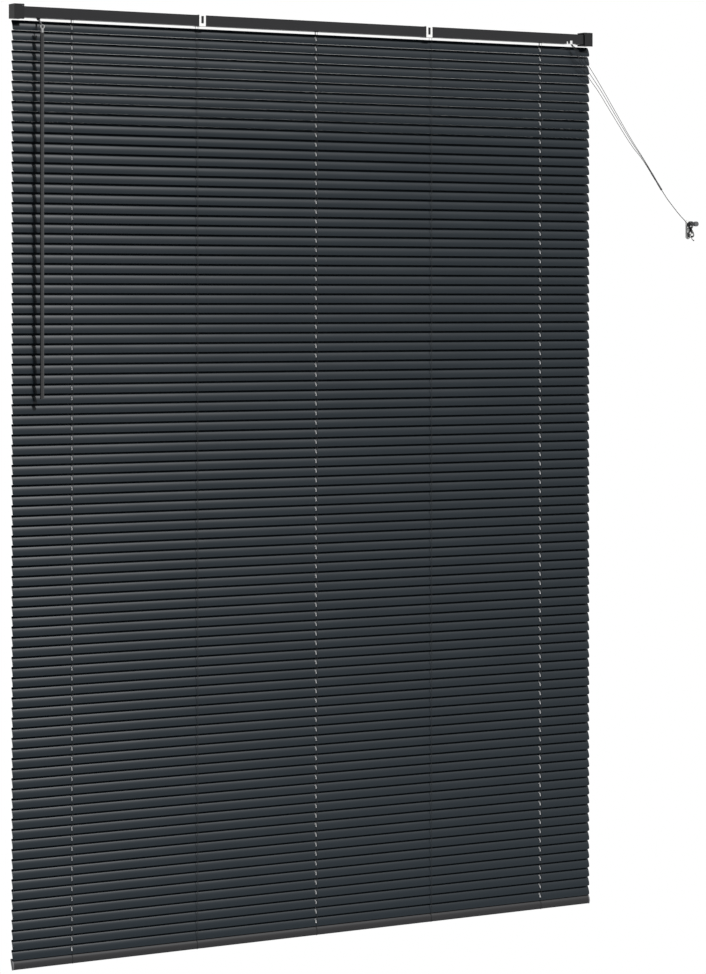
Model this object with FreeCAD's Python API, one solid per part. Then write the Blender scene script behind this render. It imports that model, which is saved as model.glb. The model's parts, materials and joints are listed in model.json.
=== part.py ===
import FreeCAD, Part
import math
import os

# Venetian blind with 25 mm aluminium slats, hung in box brackets on a wall, closed and let down.
# Millimetres.  The wall is the plane y = 0, the blind hangs in front of it toward -y, +z is up, and
# the origin is the centre of the four holes that screw the two end brackets to the wall.

# ---------------------------------------------------------------- driving dimensions, whole blind
blind_width = 1600.0        # headrail with its end caps
blind_height = 2200.0       # top of the headrail to the bottom rail's lower edge, to the nearest slat
single_slats = 23           # slats at the top that are pieces of their own
ladder_inset = 147.0        # from the end of a slat to the first ladder
ladder_count = 5
tilter_inset = 61.5         # from the end of the rail to the tilter
lock_inset = 59.0           # from the end of the rail to the cord lock's pulley

# headrail
rail_depth = 25.0
rail_height = 25.0
rail_wall = 0.6
rail_lip = 2.5
rail_wall_gap = 3.5         # from the wall to the back of the rail
cap_thickness = 2.0
cap_overhang = 1.3          # how far a cap's flange stands above and below the rail
cap_front = 0.8
cap_back = 1.3
plug_depth = 8.0
plug_wall = 1.5

# slats
slat_chord = 25.0
slat_crown = 2.0
slat_thickness = 0.25
slat_corner = 4.0
slat_overhang = 3.0         # how far a slat's end stands beyond the rail's
slat_pitch = 23.1
closed_tilt = 70.0          # degrees from level
first_slat_drop = 30.0      # from the middle of the rail to the first slat's pivot
slot_length = 11.0
slot_width = 2.8

# ladders and lift cords
string_width = 1.0
string_gap = 0.4            # between a closed slat's upper edge and the back string
rung_thickness = 0.8
rung_below = 0.55           # clear distance from a slat's hollow side to its rung
tape_thickness = 1.0
tape_offset = 1.3           # from the middle of the station to the near side of the ladder
lift_cord_radius = 0.7
main_cord_radius = 0.9
lane_spacing = 2.6
lane_gap = 0.3              # between the cords in the rail and its floor

# tilt rod, drums and cradles
rod_across = 5.0
rod_below_middle = 1.0
bore_gap = 0.05             # between the rod and what sits fast on it
running_gap = 0.1           # round a shaft that turns
clear_gap = 0.3             # between pieces that move past each other
drum_core = 7.6
drum_flange = 8.5
drum_width = 10.0
drum_rim = 1.0
journal_radius = 4.0
journal_length = 4.0
cradle_length = 26.0
cavity_gap = 0.7

# tilter: worm wheel of 15 teeth and single-start worm
gear_teeth = 15
gear_pitch_radius = 4.875
gear_addendum = 0.525
gear_dedendum = 0.725
gear_face = 3.0
tooth_root_angle = 8.7      # half the tooth's thickness, in degrees about the wheel's middle
tooth_pitch_angle = 4.32
tooth_tip_angle = 1.87
worm_pitch_radius = 2.4
worm_tip = 2.95
worm_root = 1.7
worm_turns = 3              # an odd number puts a gap of the thread over the wheel's middle tooth
worm_gap = 0.1              # added to the distance between the two axes
stem_slope = 50.0           # degrees from hanging straight down, toward the room
stem_radius = 2.0
neck_radius = 1.0
neck_start = 5.0            # above the hook's pivot, along the stem
knob_radius = 2.4
knob_start = 3.4
knob_end = 5.2
pivot_distance = 24.0       # from the middle plane of the rail forward to the hook's pivot
housing_width = 18.0
housing_top = 8.0
nose_radius = 4.2
nose_below_rail = 2.5

# hook and wand
hook_wire = 0.7
hook_ring = 3.4
hook_lean = 20.0            # degrees that the ring's own axis leans forward
leg_inner = 2.7             # from the hook's middle to the side of its slot
leg_outer = 5.7
leg_depth = 5.0
leg_above = 0.5             # above the pivot
leg_straight = 4.0
leg_end = 6.7
sleeve_radius = 3.4
sleeve_length = 10.5
wand_neck = 1.9
wand_head = 2.5
wand_across = 8.0
wand_length = 838.0
collar_radius = 4.7
collar_length = 5.5

# cord lock
pulley_groove = 5.0
pulley_rim = 6.2
pulley_axle = 1.5
pulley_height = 1.0         # above the middle of the rail
exit_spacing = 2.5
exit_inset = 4.0            # from the front of the rail to the first pull cord
joiner_behind = 6.0         # from the middle pull cord's way out back to the joiner
lock_wall = 1.5
pawl_axle = 1.2
pawl_tip_gap = 0.6
clip_thickness = 1.0
tab_thickness = 0.8

# brackets, doors and centre supports
bracket_width = 24.0
bracket_wall = 1.2
bracket_gap = 0.4           # between the cap and the bracket's end wall
clear_above = 4.0           # between the rail and the bracket's top wall
clear_below = 1.7
bracket_depth = 31.0
screw_hole = 2.25
screw_inset = 9.0           # from the end of the rail to the bracket's holes
screw_spacing = 16.0
ceiling_spacing = 15.0
knuckle_radius = 1.7
pin_radius = 0.8
pin_gap = 0.05
door_thickness = 1.2
door_gap = 0.8
door_lip = 4.7
support_position = 315.5
support_width = 17.5
support_wall = 1.2
support_hole_spacing = 12.0
support_slot_width = 6.5
support_slot_height = 17.5

# bottom rail
bottom_width = 26.0
bottom_height = 8.0
bottom_wall = 0.8
bottom_corner = 1.4
bottom_shoulder = 2.2       # height of the upright sides below the crown
bottom_drop = 21.2          # from the last slat's pivot to the middle of the bottom rail
bottom_slot = 19.0
bottom_cap_thickness = 3.2
plug_radius = 3.0
plug_height = 2.2
knot_radius = 2.0

# cleat on the wall
cleat_right_of_lock = 385.0
cleat_drop = 476.3
cleat_width = 13.0
cleat_height = 50.0
cleat_thickness = 3.0
cleat_hole = 2.1
cleat_hole_spacing = 12.0
peg_spread = 27.5
peg_radius = 4.5
peg_length = 32.0
peg_head_radius = 6.3
peg_head_length = 8.0
post_radius = 3.0
post_length = 20.0
winding_radius = 8.0
winding_back = 8.0
winding_front = 16.0
joiner_radius = 2.5
joiner_length = 54.0

# ---------------------------------------------------------------- places worked out from the sizes
rail_half = blind_width / 2 - cap_thickness
rail_back = -rail_wall_gap
rail_front = rail_back - rail_depth
middle_y = (rail_back + rail_front) / 2
rail_top = rail_height / 2
rail_floor = -rail_height / 2
floor_top = rail_floor + rail_wall
lane_z = floor_top + lane_gap + lift_cord_radius
rod_z = -rod_below_middle
tilter_x = tilter_inset - rail_half
lock_x = rail_half - lock_inset
cleat_x = lock_x + cleat_right_of_lock
station_half = rail_half - ladder_inset
stations = [station_half * (2 * i / (ladder_count - 1) - 1) for i in range(ladder_count)]
lift_stations = [stations[0], stations[ladder_count // 2], stations[-1]]

slat_radius = (slat_chord ** 2 / 4 + slat_crown ** 2) / (2 * slat_crown)
tilt = math.radians(closed_tilt)
edge_back = slat_chord / 2 * math.cos(tilt) + slat_crown / 2 * math.sin(tilt)
string_inner = edge_back + string_gap
string_outer = string_inner + string_width
rung_w = -(slat_crown / 2 + slat_thickness + rung_below + rung_thickness / 2)
rung_drop = rung_w * math.cos(tilt) + rung_w * math.tan(tilt) * math.sin(tilt)
foot_room = bottom_drop + bottom_width / 2 * math.sin(tilt)
slat_count = 1 + round((blind_height - rail_top - first_slat_drop - foot_room) / slat_pitch)


def slat_z(number):
    """Height of a slat's pivot; slats are numbered from 1 at the top."""
    return -first_slat_drop - slat_pitch * (number - 1)


split_z = slat_z(single_slats) - slat_pitch / 2
bottom_z = slat_z(slat_count) - bottom_drop


# ---------------------------------------------------------------- helpers
def vector(x, y, z):
    return FreeCAD.Vector(x, y, z)


def box(x0, x1, y0, y1, z0, z1):
    low = vector(min(x0, x1), min(y0, y1), min(z0, z1))
    return Part.makeBox(abs(x1 - x0), abs(y1 - y0), abs(z1 - z0), low)


def bar(radius, start, end):
    """Round bar from one point to another."""
    return Part.makeCylinder(radius, (end - start).Length, start, end - start)


def bar_x(radius, x0, x1, y, z):
    return bar(radius, vector(min(x0, x1), y, z), vector(max(x0, x1), y, z))


def hexagon_x(across, x0, x1, y, z):
    """Hexagonal bar along x."""
    corner = across / math.sqrt(3)
    points = []
    for i in range(7):
        angle = math.radians(60 * i)
        points.append(vector(x0, y + corner * math.cos(angle), z + corner * math.sin(angle)))
    return Part.Face(Part.makePolygon(points)).extrude(vector(x1 - x0, 0, 0))


def prism_x(outline, x0, x1):
    """Solid between two planes of constant x from a closed outline of (y, z) points."""
    points = [vector(x0, y, z) for y, z in outline]
    return Part.Face(Part.makePolygon(points + points[:1])).extrude(vector(x1 - x0, 0, 0))


def prism_y(outline, y0, y1):
    """Solid between two planes of constant y from a closed outline of (x, z) points."""
    points = [vector(x, y0, z) for x, z in outline]
    return Part.Face(Part.makePolygon(points + points[:1])).extrude(vector(0, y1 - y0, 0))


def fuse(shapes):
    joined = shapes[0].multiFuse(shapes[1:])
    return joined.removeSplitter()


def cut(shape, tools):
    return shape.cut(Part.makeCompound(tools))


def mirrored(shape):
    """The same piece at the other end of the blind."""
    return shape.mirror(vector(0, 0, 0), vector(1, 0, 0))


def save(node, solids):
    """Write one node and say how many solids it has."""
    pieces = [solid for shape in solids for solid in shape.Solids]
    for piece in pieces:
        if not piece.isValid():
            raise RuntimeError(f"{node} has a solid that is not valid")
    Part.makeCompound(pieces).exportStep(f"parts/{node}.step")
    print(f"{node}: {len(pieces)} solids")


def tube(name, points, radius, own_radii=None):
    """Cord along straight runs joined by tangent arcs.

    own_radii gives the arc's radius at the points where a pulley or a clip sets it; every other arc
    is as large as its two runs allow.
    """
    own_radii = own_radii or {}
    edges = []
    radii = []
    start = points[0]
    for i in range(1, len(points) - 1):
        before = points[i] - points[i - 1]
        after = points[i + 1] - points[i]
        half_turn = before.getAngle(after) / 2
        bend = own_radii.get(i, 0.45 * min(before.Length, after.Length) / math.tan(half_turn))
        reach = bend * math.tan(half_turn)
        before.normalize()
        after.normalize()
        enter = points[i] - before * reach
        leave = points[i] + after * reach
        inward = after - before
        inward.normalize()
        top = points[i] + inward * (bend / math.cos(half_turn) - bend)
        edges.append(Part.LineSegment(start, enter).toShape())
        edges.append(Part.Arc(enter, top, leave).toShape())
        radii.append(bend)
        start = leave
    edges.append(Part.LineSegment(start, points[-1]).toShape())
    path = Part.Wire(edges)
    section = Part.Wire(Part.makeCircle(radius, points[0], points[1] - points[0]))
    solid = path.makePipeShell([section], True, False)
    expected = math.pi * radius ** 2 * path.Length
    listed = ", ".join(f"{bend:.1f}" for bend in radii)
    print(f"{name}: length {path.Length:.1f}, radii {listed}, volume/expected {solid.Volume / expected:.4f}")
    return solid


# ---------------------------------------------------------------- headrail and its end caps
def headrail():
    """U channel, open at the top, with lips turned inward and holes in its floor."""
    channel = box(-rail_half, rail_half, rail_front, rail_back, rail_floor, rail_top)
    inside = box(-rail_half, rail_half, rail_front + rail_wall, rail_back - rail_wall,
                 floor_top, rail_top - rail_wall)
    mouth = box(-rail_half, rail_half, rail_front + rail_lip, rail_back - rail_lip, 0, rail_top)
    holes = [box(x - 3, x + 5, middle_y - 7.5, middle_y + 7.5, rail_floor, floor_top) for x in stations]
    holes.append(box(tilter_x - 6, tilter_x + 6, middle_y - 11, middle_y + 8, rail_floor, floor_top))
    holes.append(box(lock_x, lock_x + 12, exit_y(1) - 2.5, exit_y(3) + 2.5, rail_floor, floor_top))
    return cut(channel, [inside, mouth] + holes)


def rail_end_cap():
    """Cap for the right end: a flange, and a hollow plug that fits inside the rail."""
    flange = box(rail_half, rail_half + cap_thickness, rail_front - cap_front, rail_back + cap_back,
                 rail_floor - cap_overhang, rail_top + cap_overhang)
    plug = box(rail_half - plug_depth, rail_half, rail_front + rail_wall + clear_gap,
               rail_back - rail_wall - clear_gap, floor_top + clear_gap,
               rail_top - rail_wall - clear_gap)
    hollow = box(rail_half - plug_depth, rail_half, rail_front + rail_wall + clear_gap + plug_wall,
                 rail_back - rail_wall - clear_gap - plug_wall, floor_top + clear_gap + plug_wall,
                 rail_top - rail_wall - clear_gap - plug_wall)
    return fuse([flange, plug.cut(hollow)])


# ---------------------------------------------------------------- end brackets and their doors
bracket_top = rail_top + clear_above + bracket_wall
bracket_low = rail_floor - clear_below - bracket_wall
cap_face = rail_half + cap_thickness
bracket_inner = cap_face + bracket_gap
bracket_outer = bracket_inner + bracket_wall
bracket_side = bracket_outer - bracket_width
hinge_y = -bracket_depth - 0.3
hinge_z = bracket_top - knuckle_radius
knuckle_third = bracket_width / 4
door_back = -bracket_depth - door_gap
door_front = door_back - door_thickness


def end_bracket():
    """Right bracket: a box open at the front and toward the rail, with screw holes."""
    shell = box(bracket_side, bracket_outer, -bracket_depth, 0, bracket_low, bracket_top)
    inside = box(bracket_side, bracket_inner, -bracket_depth, -bracket_wall,
                 bracket_low + bracket_wall, bracket_top - bracket_wall)
    holes = []
    for z in (-screw_spacing / 2, screw_spacing / 2):
        x = rail_half - screw_inset
        holes.append(bar(screw_hole, vector(x, -bracket_wall, z), vector(x, 0, z)))
    for y in (middle_y - ceiling_spacing / 2, middle_y + ceiling_spacing / 2):
        holes.append(bar(screw_hole, vector(x, y, bracket_top - bracket_wall), vector(x, y, bracket_top)))
    notch = box(bracket_side + knuckle_third - clear_gap, bracket_outer - knuckle_third + clear_gap,
                -bracket_depth, hinge_y + knuckle_radius + 0.4, hinge_z - 2, bracket_top)
    body = cut(shell, [inside, notch] + holes)
    knuckles = [bar_x(knuckle_radius, bracket_side, bracket_side + knuckle_third, hinge_y, hinge_z),
                bar_x(knuckle_radius, bracket_outer - knuckle_third, bracket_outer, hinge_y, hinge_z)]
    bore = bar_x(pin_radius + pin_gap, bracket_side, bracket_outer, hinge_y, hinge_z)
    return fuse([body] + knuckles).cut(bore)


def bracket_door():
    """Right bracket's front door: it hangs on a pin, with a lip below and one side turned back."""
    knuckle_from = bracket_side + knuckle_third + clear_gap
    knuckle_to = bracket_outer - knuckle_third - clear_gap
    plate_top = hinge_z - knuckle_radius - clear_gap
    lip_top = bracket_low - clear_gap
    plate = box(bracket_side, bracket_outer, door_front, door_back, lip_top - door_thickness, plate_top)
    neck = box(knuckle_from, knuckle_to, door_front, door_back, plate_top, hinge_z)
    lip = box(bracket_side, bracket_outer, door_front, door_front + door_lip,
              lip_top - door_thickness, lip_top)
    side = box(bracket_side, bracket_side + door_thickness, door_back, rail_front - clear_gap,
               bracket_low + bracket_wall + clear_gap, plate_top)
    knuckle = bar_x(knuckle_radius, knuckle_from, knuckle_to, hinge_y, hinge_z)
    bore = bar_x(pin_radius + 2 * pin_gap, bracket_side, bracket_outer, hinge_y, hinge_z)
    return fuse([plate, neck, lip, side, knuckle]).cut(bore)


def door_pin():
    return bar_x(pin_radius, bracket_side + 0.2, bracket_outer - 0.2, hinge_y, hinge_z)


# ---------------------------------------------------------------- centre supports over the rail
def centre_support():
    """Right support: one bent strip from the wall, over the rail and down its front, with a slot."""
    left = support_position - support_width / 2
    right = support_position + support_width / 2
    front = rail_front - clear_gap - support_wall
    over = rail_top + clear_gap
    under = rail_floor - clear_gap
    back = box(left, right, -support_wall, 0, under, over + support_wall)
    arm = box(left, right, front, 0, over, over + support_wall)
    face = box(left, right, front, front + support_wall, under - support_wall, over + support_wall)
    hook = box(left, right, front, front + 5, under - support_wall, under)
    slot = box(support_position - support_slot_width / 2, support_position + support_slot_width / 2,
               front, front + support_wall, over + support_wall - 3.5 - support_slot_height,
               over + support_wall - 3.5)
    holes = [bar(screw_hole, vector(support_position, -support_wall, z), vector(support_position, 0, z))
             for z in (-support_hole_spacing / 2, support_hole_spacing / 2)]
    return cut(fuse([back, arm, face, hook]), [slot] + holes)


# ---------------------------------------------------------------- tilt rod, drums and cradles
def tilt_rod():
    left = tilter_x - housing_width / 2 - 4
    right = stations[-1] + cradle_length / 2 + 6
    return hexagon_x(rod_across, left, right, middle_y, rod_z)


def ladder_drum(x):
    """Spool that the ladder hangs from, with a journal at each end."""
    half = drum_width / 2
    parts = [bar_x(drum_core, x - half, x + half, middle_y, rod_z),
             bar_x(drum_flange, x - half, x - half + drum_rim, middle_y, rod_z),
             bar_x(drum_flange, x + half - drum_rim, x + half, middle_y, rod_z),
             bar_x(journal_radius, x - half - journal_length, x + half + journal_length, middle_y, rod_z)]
    bore = hexagon_x(rod_across + 2 * bore_gap, x - 20, x + 20, middle_y, rod_z)
    return fuse(parts).cut(bore)


def drum_cradle(x):
    """Saddle in the rail with seats for the drum's journals and a tunnel for the cords."""
    half = cradle_length / 2
    cavity = drum_flange + cavity_gap
    block = box(x - half, x + half, rail_front + rail_wall + clear_gap,
                rail_back - rail_wall - clear_gap, floor_top, rod_z)
    seat_end = drum_width / 2 + journal_length + clear_gap
    tools = [bar_x(cavity, x - drum_width / 2 - 0.5, x + drum_width / 2 + 0.5, middle_y, rod_z),
             bar_x(journal_radius + running_gap, x - seat_end, x + seat_end, middle_y, rod_z),
             bar_x(rod_across / math.sqrt(3) + clear_gap, x - half, x + half, middle_y, rod_z),
             box(x - half, x + half, middle_y - lane_spacing - 1, middle_y + lane_spacing + 1,
                 floor_top, lane_z + lift_cord_radius + 0.5),
             box(x - 3, x + 5, middle_y - 7.5, middle_y + 7.5, floor_top, rod_z)]
    return cut(block, tools)


# ---------------------------------------------------------------- tilter
slope = math.radians(stem_slope)
stem_way = vector(0, -math.sin(slope), -math.cos(slope))      # down the worm's axis
mesh_way = vector(0, math.cos(slope), -math.sin(slope))       # from the wheel to the worm
wheel_middle = vector(tilter_x, middle_y, rod_z)
worm_middle = wheel_middle + mesh_way * (gear_pitch_radius + worm_pitch_radius + worm_gap)
pivot_along = (pivot_distance + worm_middle.y - middle_y) / math.sin(slope)
pivot = worm_middle + stem_way * pivot_along
worm_lead = 2 * math.pi * gear_pitch_radius / gear_teeth
worm_half = worm_lead * worm_turns / 2


def tilter_gear():
    """Worm wheel with one tooth centred on the line to the worm."""
    toward = math.atan2(mesh_way.z, mesh_way.y)
    outline = []
    for tooth in range(gear_teeth):
        centre = toward + 2 * math.pi * tooth / gear_teeth
        corners = [(-tooth_root_angle, gear_pitch_radius - gear_dedendum),
                   (-tooth_pitch_angle, gear_pitch_radius),
                   (-tooth_tip_angle, gear_pitch_radius + gear_addendum),
                   (tooth_tip_angle, gear_pitch_radius + gear_addendum),
                   (tooth_pitch_angle, gear_pitch_radius),
                   (tooth_root_angle, gear_pitch_radius - gear_dedendum)]
        for degrees, radius in corners:
            angle = centre + math.radians(degrees)
            outline.append((middle_y + radius * math.cos(angle), rod_z + radius * math.sin(angle)))
    wheel = prism_x(outline, tilter_x - gear_face / 2, tilter_x + gear_face / 2)
    hub = bar_x(journal_radius - 0.2, tilter_x - 5, tilter_x + 5, middle_y, rod_z)
    bore = hexagon_x(rod_across + 2 * bore_gap, tilter_x - 6, tilter_x + 6, middle_y, rod_z)
    return fuse([wheel, hub]).cut(bore)


def along_stem(distance):
    return worm_middle + stem_way * distance


def worm_thread():
    """Single right-hand thread whose crests stand half a lead from the wheel's middle tooth."""
    base = worm_root - 0.2
    root_half = 0.66
    tip_half = 0.18
    helix = Part.makeHelix(worm_lead, 2 * worm_half, worm_pitch_radius)
    profile = Part.makePolygon([vector(base, 0, -root_half), vector(worm_tip, 0, -tip_half),
                                vector(worm_tip, 0, tip_half), vector(base, 0, root_half),
                                vector(base, 0, -root_half)])
    thread = helix.makePipeShell([profile], True, True)
    side = stem_way.cross(mesh_way * -1)
    turn = FreeCAD.Matrix(-mesh_way.x, side.x, stem_way.x, worm_middle.x,
                          -mesh_way.y, side.y, stem_way.y, worm_middle.y,
                          -mesh_way.z, side.z, stem_way.z, worm_middle.z,
                          0, 0, 0, 1)
    thread.translate(vector(0, 0, -worm_half))
    thread.transformShape(turn)
    return thread


def tilter_worm():
    """Worm, stem, neck for the hook, and end knob, turned in one piece."""
    core = bar(worm_root, along_stem(-worm_half - 1), along_stem(worm_half + 1.5))
    stem = bar(stem_radius, along_stem(worm_half + 0.8), along_stem(pivot_along - neck_start))
    neck = bar(neck_radius, along_stem(worm_half + 2), along_stem(pivot_along + knob_end))
    knob = bar(knob_radius, along_stem(pivot_along + knob_start), along_stem(pivot_along + knob_end))
    return fuse([core, stem, neck, knob, worm_thread()])


def tilter_housing():
    """Block in the rail with cavities for the wheel and the worm, and a nose through the floor."""
    half = housing_width / 2
    block = box(tilter_x - half, tilter_x + half, rail_front + rail_wall + clear_gap,
                rail_back - rail_wall - clear_gap, floor_top, housing_top)
    nose_end = (worm_middle.z - rail_floor + nose_below_rail) / math.cos(slope)
    nose = bar(nose_radius, along_stem(2), along_stem(nose_end))
    wheel_room = bar_x(gear_pitch_radius + gear_addendum + 0.4, tilter_x - gear_face / 2 - 0.4,
                       tilter_x + gear_face / 2 + 0.4, middle_y, rod_z)
    journals = bar_x(journal_radius - 0.2 + running_gap, tilter_x - 5.3, tilter_x + 5.3, middle_y, rod_z)
    rod_room = bar_x(rod_across / math.sqrt(3) + clear_gap, tilter_x - half, tilter_x + half,
                     middle_y, rod_z)
    worm_room = bar(worm_tip + 0.35, along_stem(-worm_half - 1.3), along_stem(worm_half + 0.8))
    stem_room = bar(stem_radius + running_gap, along_stem(0), along_stem(nose_end))
    return cut(fuse([block, nose]), [wheel_room, journals, rod_room, worm_room, stem_room])


def wand_hook():
    """Wire ring round the stem's neck, two flat legs, and a sleeve that the wand hangs in."""
    lean = math.radians(hook_lean)
    ring = Part.makeTorus(hook_ring, hook_wire, pivot, vector(0, -math.sin(lean), -math.cos(lean)))
    sleeve_top = pivot.z - leg_end + 0.8
    parts = [ring]
    for side in (-1, 1):
        corners = [(leg_inner, leg_above), (leg_outer, leg_above), (leg_outer, -leg_straight),
                   (sleeve_radius - 0.1, -leg_end - 1), (leg_inner / 2, 0.3 - leg_end),
                   (leg_inner, -math.hypot(knob_end, knob_radius))]
        outline = [(pivot.x + side * x, pivot.z + z) for x, z in corners]
        parts.append(prism_y(outline, pivot.y - leg_depth / 2, pivot.y + leg_depth / 2))
    parts.append(bar(sleeve_radius, vector(pivot.x, pivot.y, sleeve_top - sleeve_length),
                     vector(pivot.x, pivot.y, sleeve_top)))
    hollow = bar(wand_neck + running_gap, vector(pivot.x, pivot.y, sleeve_top - sleeve_length),
                 vector(pivot.x, pivot.y, sleeve_top - 2))
    head_room = bar(wand_head + running_gap, vector(pivot.x, pivot.y, sleeve_top - 5),
                    vector(pivot.x, pivot.y, sleeve_top - 1.5))
    return cut(fuse(parts), [hollow, head_room])


def wand():
    """Hexagonal wand with a collar, and a headed neck that turns in the hook's sleeve."""
    sleeve_top = pivot.z - leg_end + 0.8
    top = sleeve_top - sleeve_length - 0.2

    def at(z):
        return vector(pivot.x, pivot.y, z)

    head = bar(wand_head, at(sleeve_top - 4.7), at(sleeve_top - 2))
    neck = bar(wand_neck, at(top - 1), at(sleeve_top - 3))
    collar = bar(collar_radius, at(top - collar_length), at(top))
    corner = wand_across / math.sqrt(3)
    outline = []
    for i in range(7):
        angle = math.radians(60 * i + 30)
        outline.append(vector(pivot.x + corner * math.cos(angle), pivot.y + corner * math.sin(angle), top))
    shaft = Part.Face(Part.makePolygon(outline)).extrude(vector(0, 0, -wand_length))
    return fuse([head, neck, collar, shaft])


# ---------------------------------------------------------------- cord lock
def exit_y(place):
    """Where a pull cord leaves the rail; place is 1, 2 or 3 from the front."""
    return rail_front + exit_inset + exit_spacing * (place - 1)


pulley_x = lock_x
pulley_z = pulley_height
exit_x = pulley_x + pulley_groove + lift_cord_radius
lock_from = pulley_x - 17
lock_to = pulley_x + 18
pulley_from = exit_y(1) - 1.4
pulley_to = exit_y(3) + 1.4
pawl_x = pulley_x + 14
pawl_z = pulley_z + 1


def cord_lock_body():
    """Base and two cheeks with the axles of the pulley and of the pawl."""
    front = rail_front + rail_wall + clear_gap
    back = pulley_to + 2 + lock_wall
    base = box(lock_from, lock_to, front, back, floor_top, floor_top + lock_wall)
    near = box(lock_from, lock_to, front, front + lock_wall, floor_top, pulley_z + 8)
    far = box(lock_from, lock_to, back - lock_wall, back, floor_top, pulley_z + 8)
    way_out = box(exit_x - 2.2, exit_x + 2.8, pulley_from - 0.4, pulley_to + 0.4, floor_top,
                  floor_top + lock_wall)
    pulley_pin = bar(pulley_axle, vector(pulley_x, front, pulley_z), vector(pulley_x, back, pulley_z))
    pawl_pin = bar(pawl_axle, vector(pawl_x, front, pawl_z), vector(pawl_x, back, pawl_z))
    return fuse([base.cut(way_out), near, far, pulley_pin, pawl_pin])


def cord_lock_pulley():
    """Roller with a groove for each of the three cords."""
    y0 = pulley_from
    roller = bar(pulley_rim, vector(pulley_x, y0, pulley_z), vector(pulley_x, pulley_to, pulley_z))
    grooves = []
    for place in (1, 2, 3):
        y = exit_y(place)
        ring = bar(pulley_rim + 1, vector(pulley_x, y - 0.9, pulley_z), vector(pulley_x, y + 0.9, pulley_z))
        core = bar(pulley_groove, vector(pulley_x, y - 1, pulley_z), vector(pulley_x, y + 1, pulley_z))
        grooves.append(ring.cut(core))
    bore = bar(pulley_axle + running_gap, vector(pulley_x, y0 - 1, pulley_z),
               vector(pulley_x, pulley_to + 1, pulley_z))
    return cut(roller, grooves + [bore])


def cord_lock_pawl():
    """Wedge that pinches the cords, shown let down beside them."""
    y0 = pulley_from + 0.2
    y1 = pulley_to - 0.2
    tip = exit_x + lift_cord_radius + pawl_tip_gap
    hub = bar(2.6, vector(pawl_x, y0, pawl_z), vector(pawl_x, y1, pawl_z))
    arm = prism_y([(tip, pawl_z - 1), (tip, pawl_z + 0.6), (pawl_x, pawl_z + 2.4),
                   (pawl_x, pawl_z - 2.4)], y0, y1)
    bore = bar(pawl_axle + running_gap, vector(pawl_x, y0 - 1, pawl_z), vector(pawl_x, y1 + 1, pawl_z))
    return fuse([hub, arm]).cut(bore)


def cord_lock_clip():
    """Bright plate under the rail with two tabs up its front."""
    left = pulley_x - 15
    right = pulley_x + 13
    low = rail_floor - clip_thickness
    plate = box(left, right, rail_front - tab_thickness, middle_y - 1, low, rail_floor)
    front = rail_front - tab_thickness
    wide_tab = box(pulley_x - 4, pulley_x + 3, front, rail_front, low, rail_floor + 8)
    small_tab = box(left + 1, left + 4, front, rail_front, low, rail_floor + 5.5)
    way_out = box(exit_x - 2.4, exit_x + 3, pulley_from - 0.6, pulley_to + 0.6, low, rail_floor)
    return fuse([plate, wide_tab, small_tab]).cut(way_out)


# ---------------------------------------------------------------- lift cords
def lift_cord_points(place):
    """Route of one lift cord from the lock, over the pulley and along the rail, to its station."""
    lane_y = middle_y + {1: -lane_spacing, 2: 0.0, 3: lane_spacing}[place]
    x = {1: lift_stations[0], 2: lift_stations[2], 3: lift_stations[1]}[place]
    top = pulley_z + pulley_groove + lift_cord_radius
    points = [vector(exit_x, exit_y(place), rail_floor),
              vector(exit_x, exit_y(place), top),
              vector(pulley_x - 19, exit_y(place), top),
              vector(pulley_x - 51, lane_y, lane_z)]
    if lane_y != middle_y:
        points += [vector(x + 70, lane_y, lane_z), vector(x + 14, middle_y, lane_z)]
    points += [vector(x, middle_y, lane_z), vector(x, middle_y, split_z)]
    return points


def lift_cord_upper(place):
    points = lift_cord_points(place)
    own = {1: pulley_groove + lift_cord_radius, 2: 24.0, 3: 24.0, len(points) - 2: 4.2}
    return tube(f"lift cord {place}", points, lift_cord_radius, own)


def lift_cord_lower(x):
    return bar(lift_cord_radius, vector(x, middle_y, bottom_z + knot_radius + 0.1),
               vector(x, middle_y, split_z))


def lift_knot(x):
    return Part.makeSphere(knot_radius, vector(x, middle_y, bottom_z))


# ---------------------------------------------------------------- slats
def slat():
    """One slat about its own pivot, turned to the closed tilt."""
    half = slat_chord / 2
    rise = slat_crown / 2
    reach = rail_half + slat_overhang
    outer_end = vector(0, half, -rise)
    outer = Part.Arc(vector(0, -half, -rise), vector(0, 0, rise), outer_end)
    inner = Part.Arc(vector(0, half, -rise - slat_thickness), vector(0, 0, rise - slat_thickness),
                     vector(0, -half, -rise - slat_thickness))
    side_a = Part.LineSegment(outer_end, vector(0, half, -rise - slat_thickness))
    side_b = Part.LineSegment(vector(0, -half, -rise - slat_thickness), vector(0, -half, -rise))
    edges = [outer.toShape(), side_a.toShape(), inner.toShape(), side_b.toShape()]
    band = Part.Face(Part.Wire(edges)).extrude(vector(2 * reach, 0, 0))
    band.translate(vector(-reach, 0, 0))
    sheet = box(-reach, reach, -half, half, -3, 3)
    upright = [edge for edge in sheet.Edges if abs(edge.Vertexes[0].Z - edge.Vertexes[1].Z) > 1]
    piece = band.common(sheet.makeFillet(slat_corner, upright))
    slots = [box(x - slot_width / 2, x + slot_width / 2, -slot_length / 2, slot_length / 2, -3, 3)
             for x in lift_stations]
    piece = cut(piece, slots)
    piece.rotate(vector(0, 0, 0), vector(1, 0, 0), closed_tilt)
    return piece


def slats():
    pattern = slat()
    for number in range(1, single_slats + 1):
        piece = pattern.copy()
        piece.translate(vector(0, middle_y, slat_z(number)))
        save(f"slat_{number:02d}", [piece])
    lower = []
    for number in range(single_slats + 1, slat_count + 1):
        piece = pattern.copy()
        piece.translate(vector(0, middle_y, slat_z(number)))
        lower.append(piece)
    save("lower_slats", lower)


# ---------------------------------------------------------------- ladders
def rung_z(number, offset):
    """Height of a rung's middle line at a distance behind the ladder's middle."""
    return slat_z(number) + rung_drop + offset * math.tan(tilt)


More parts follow.
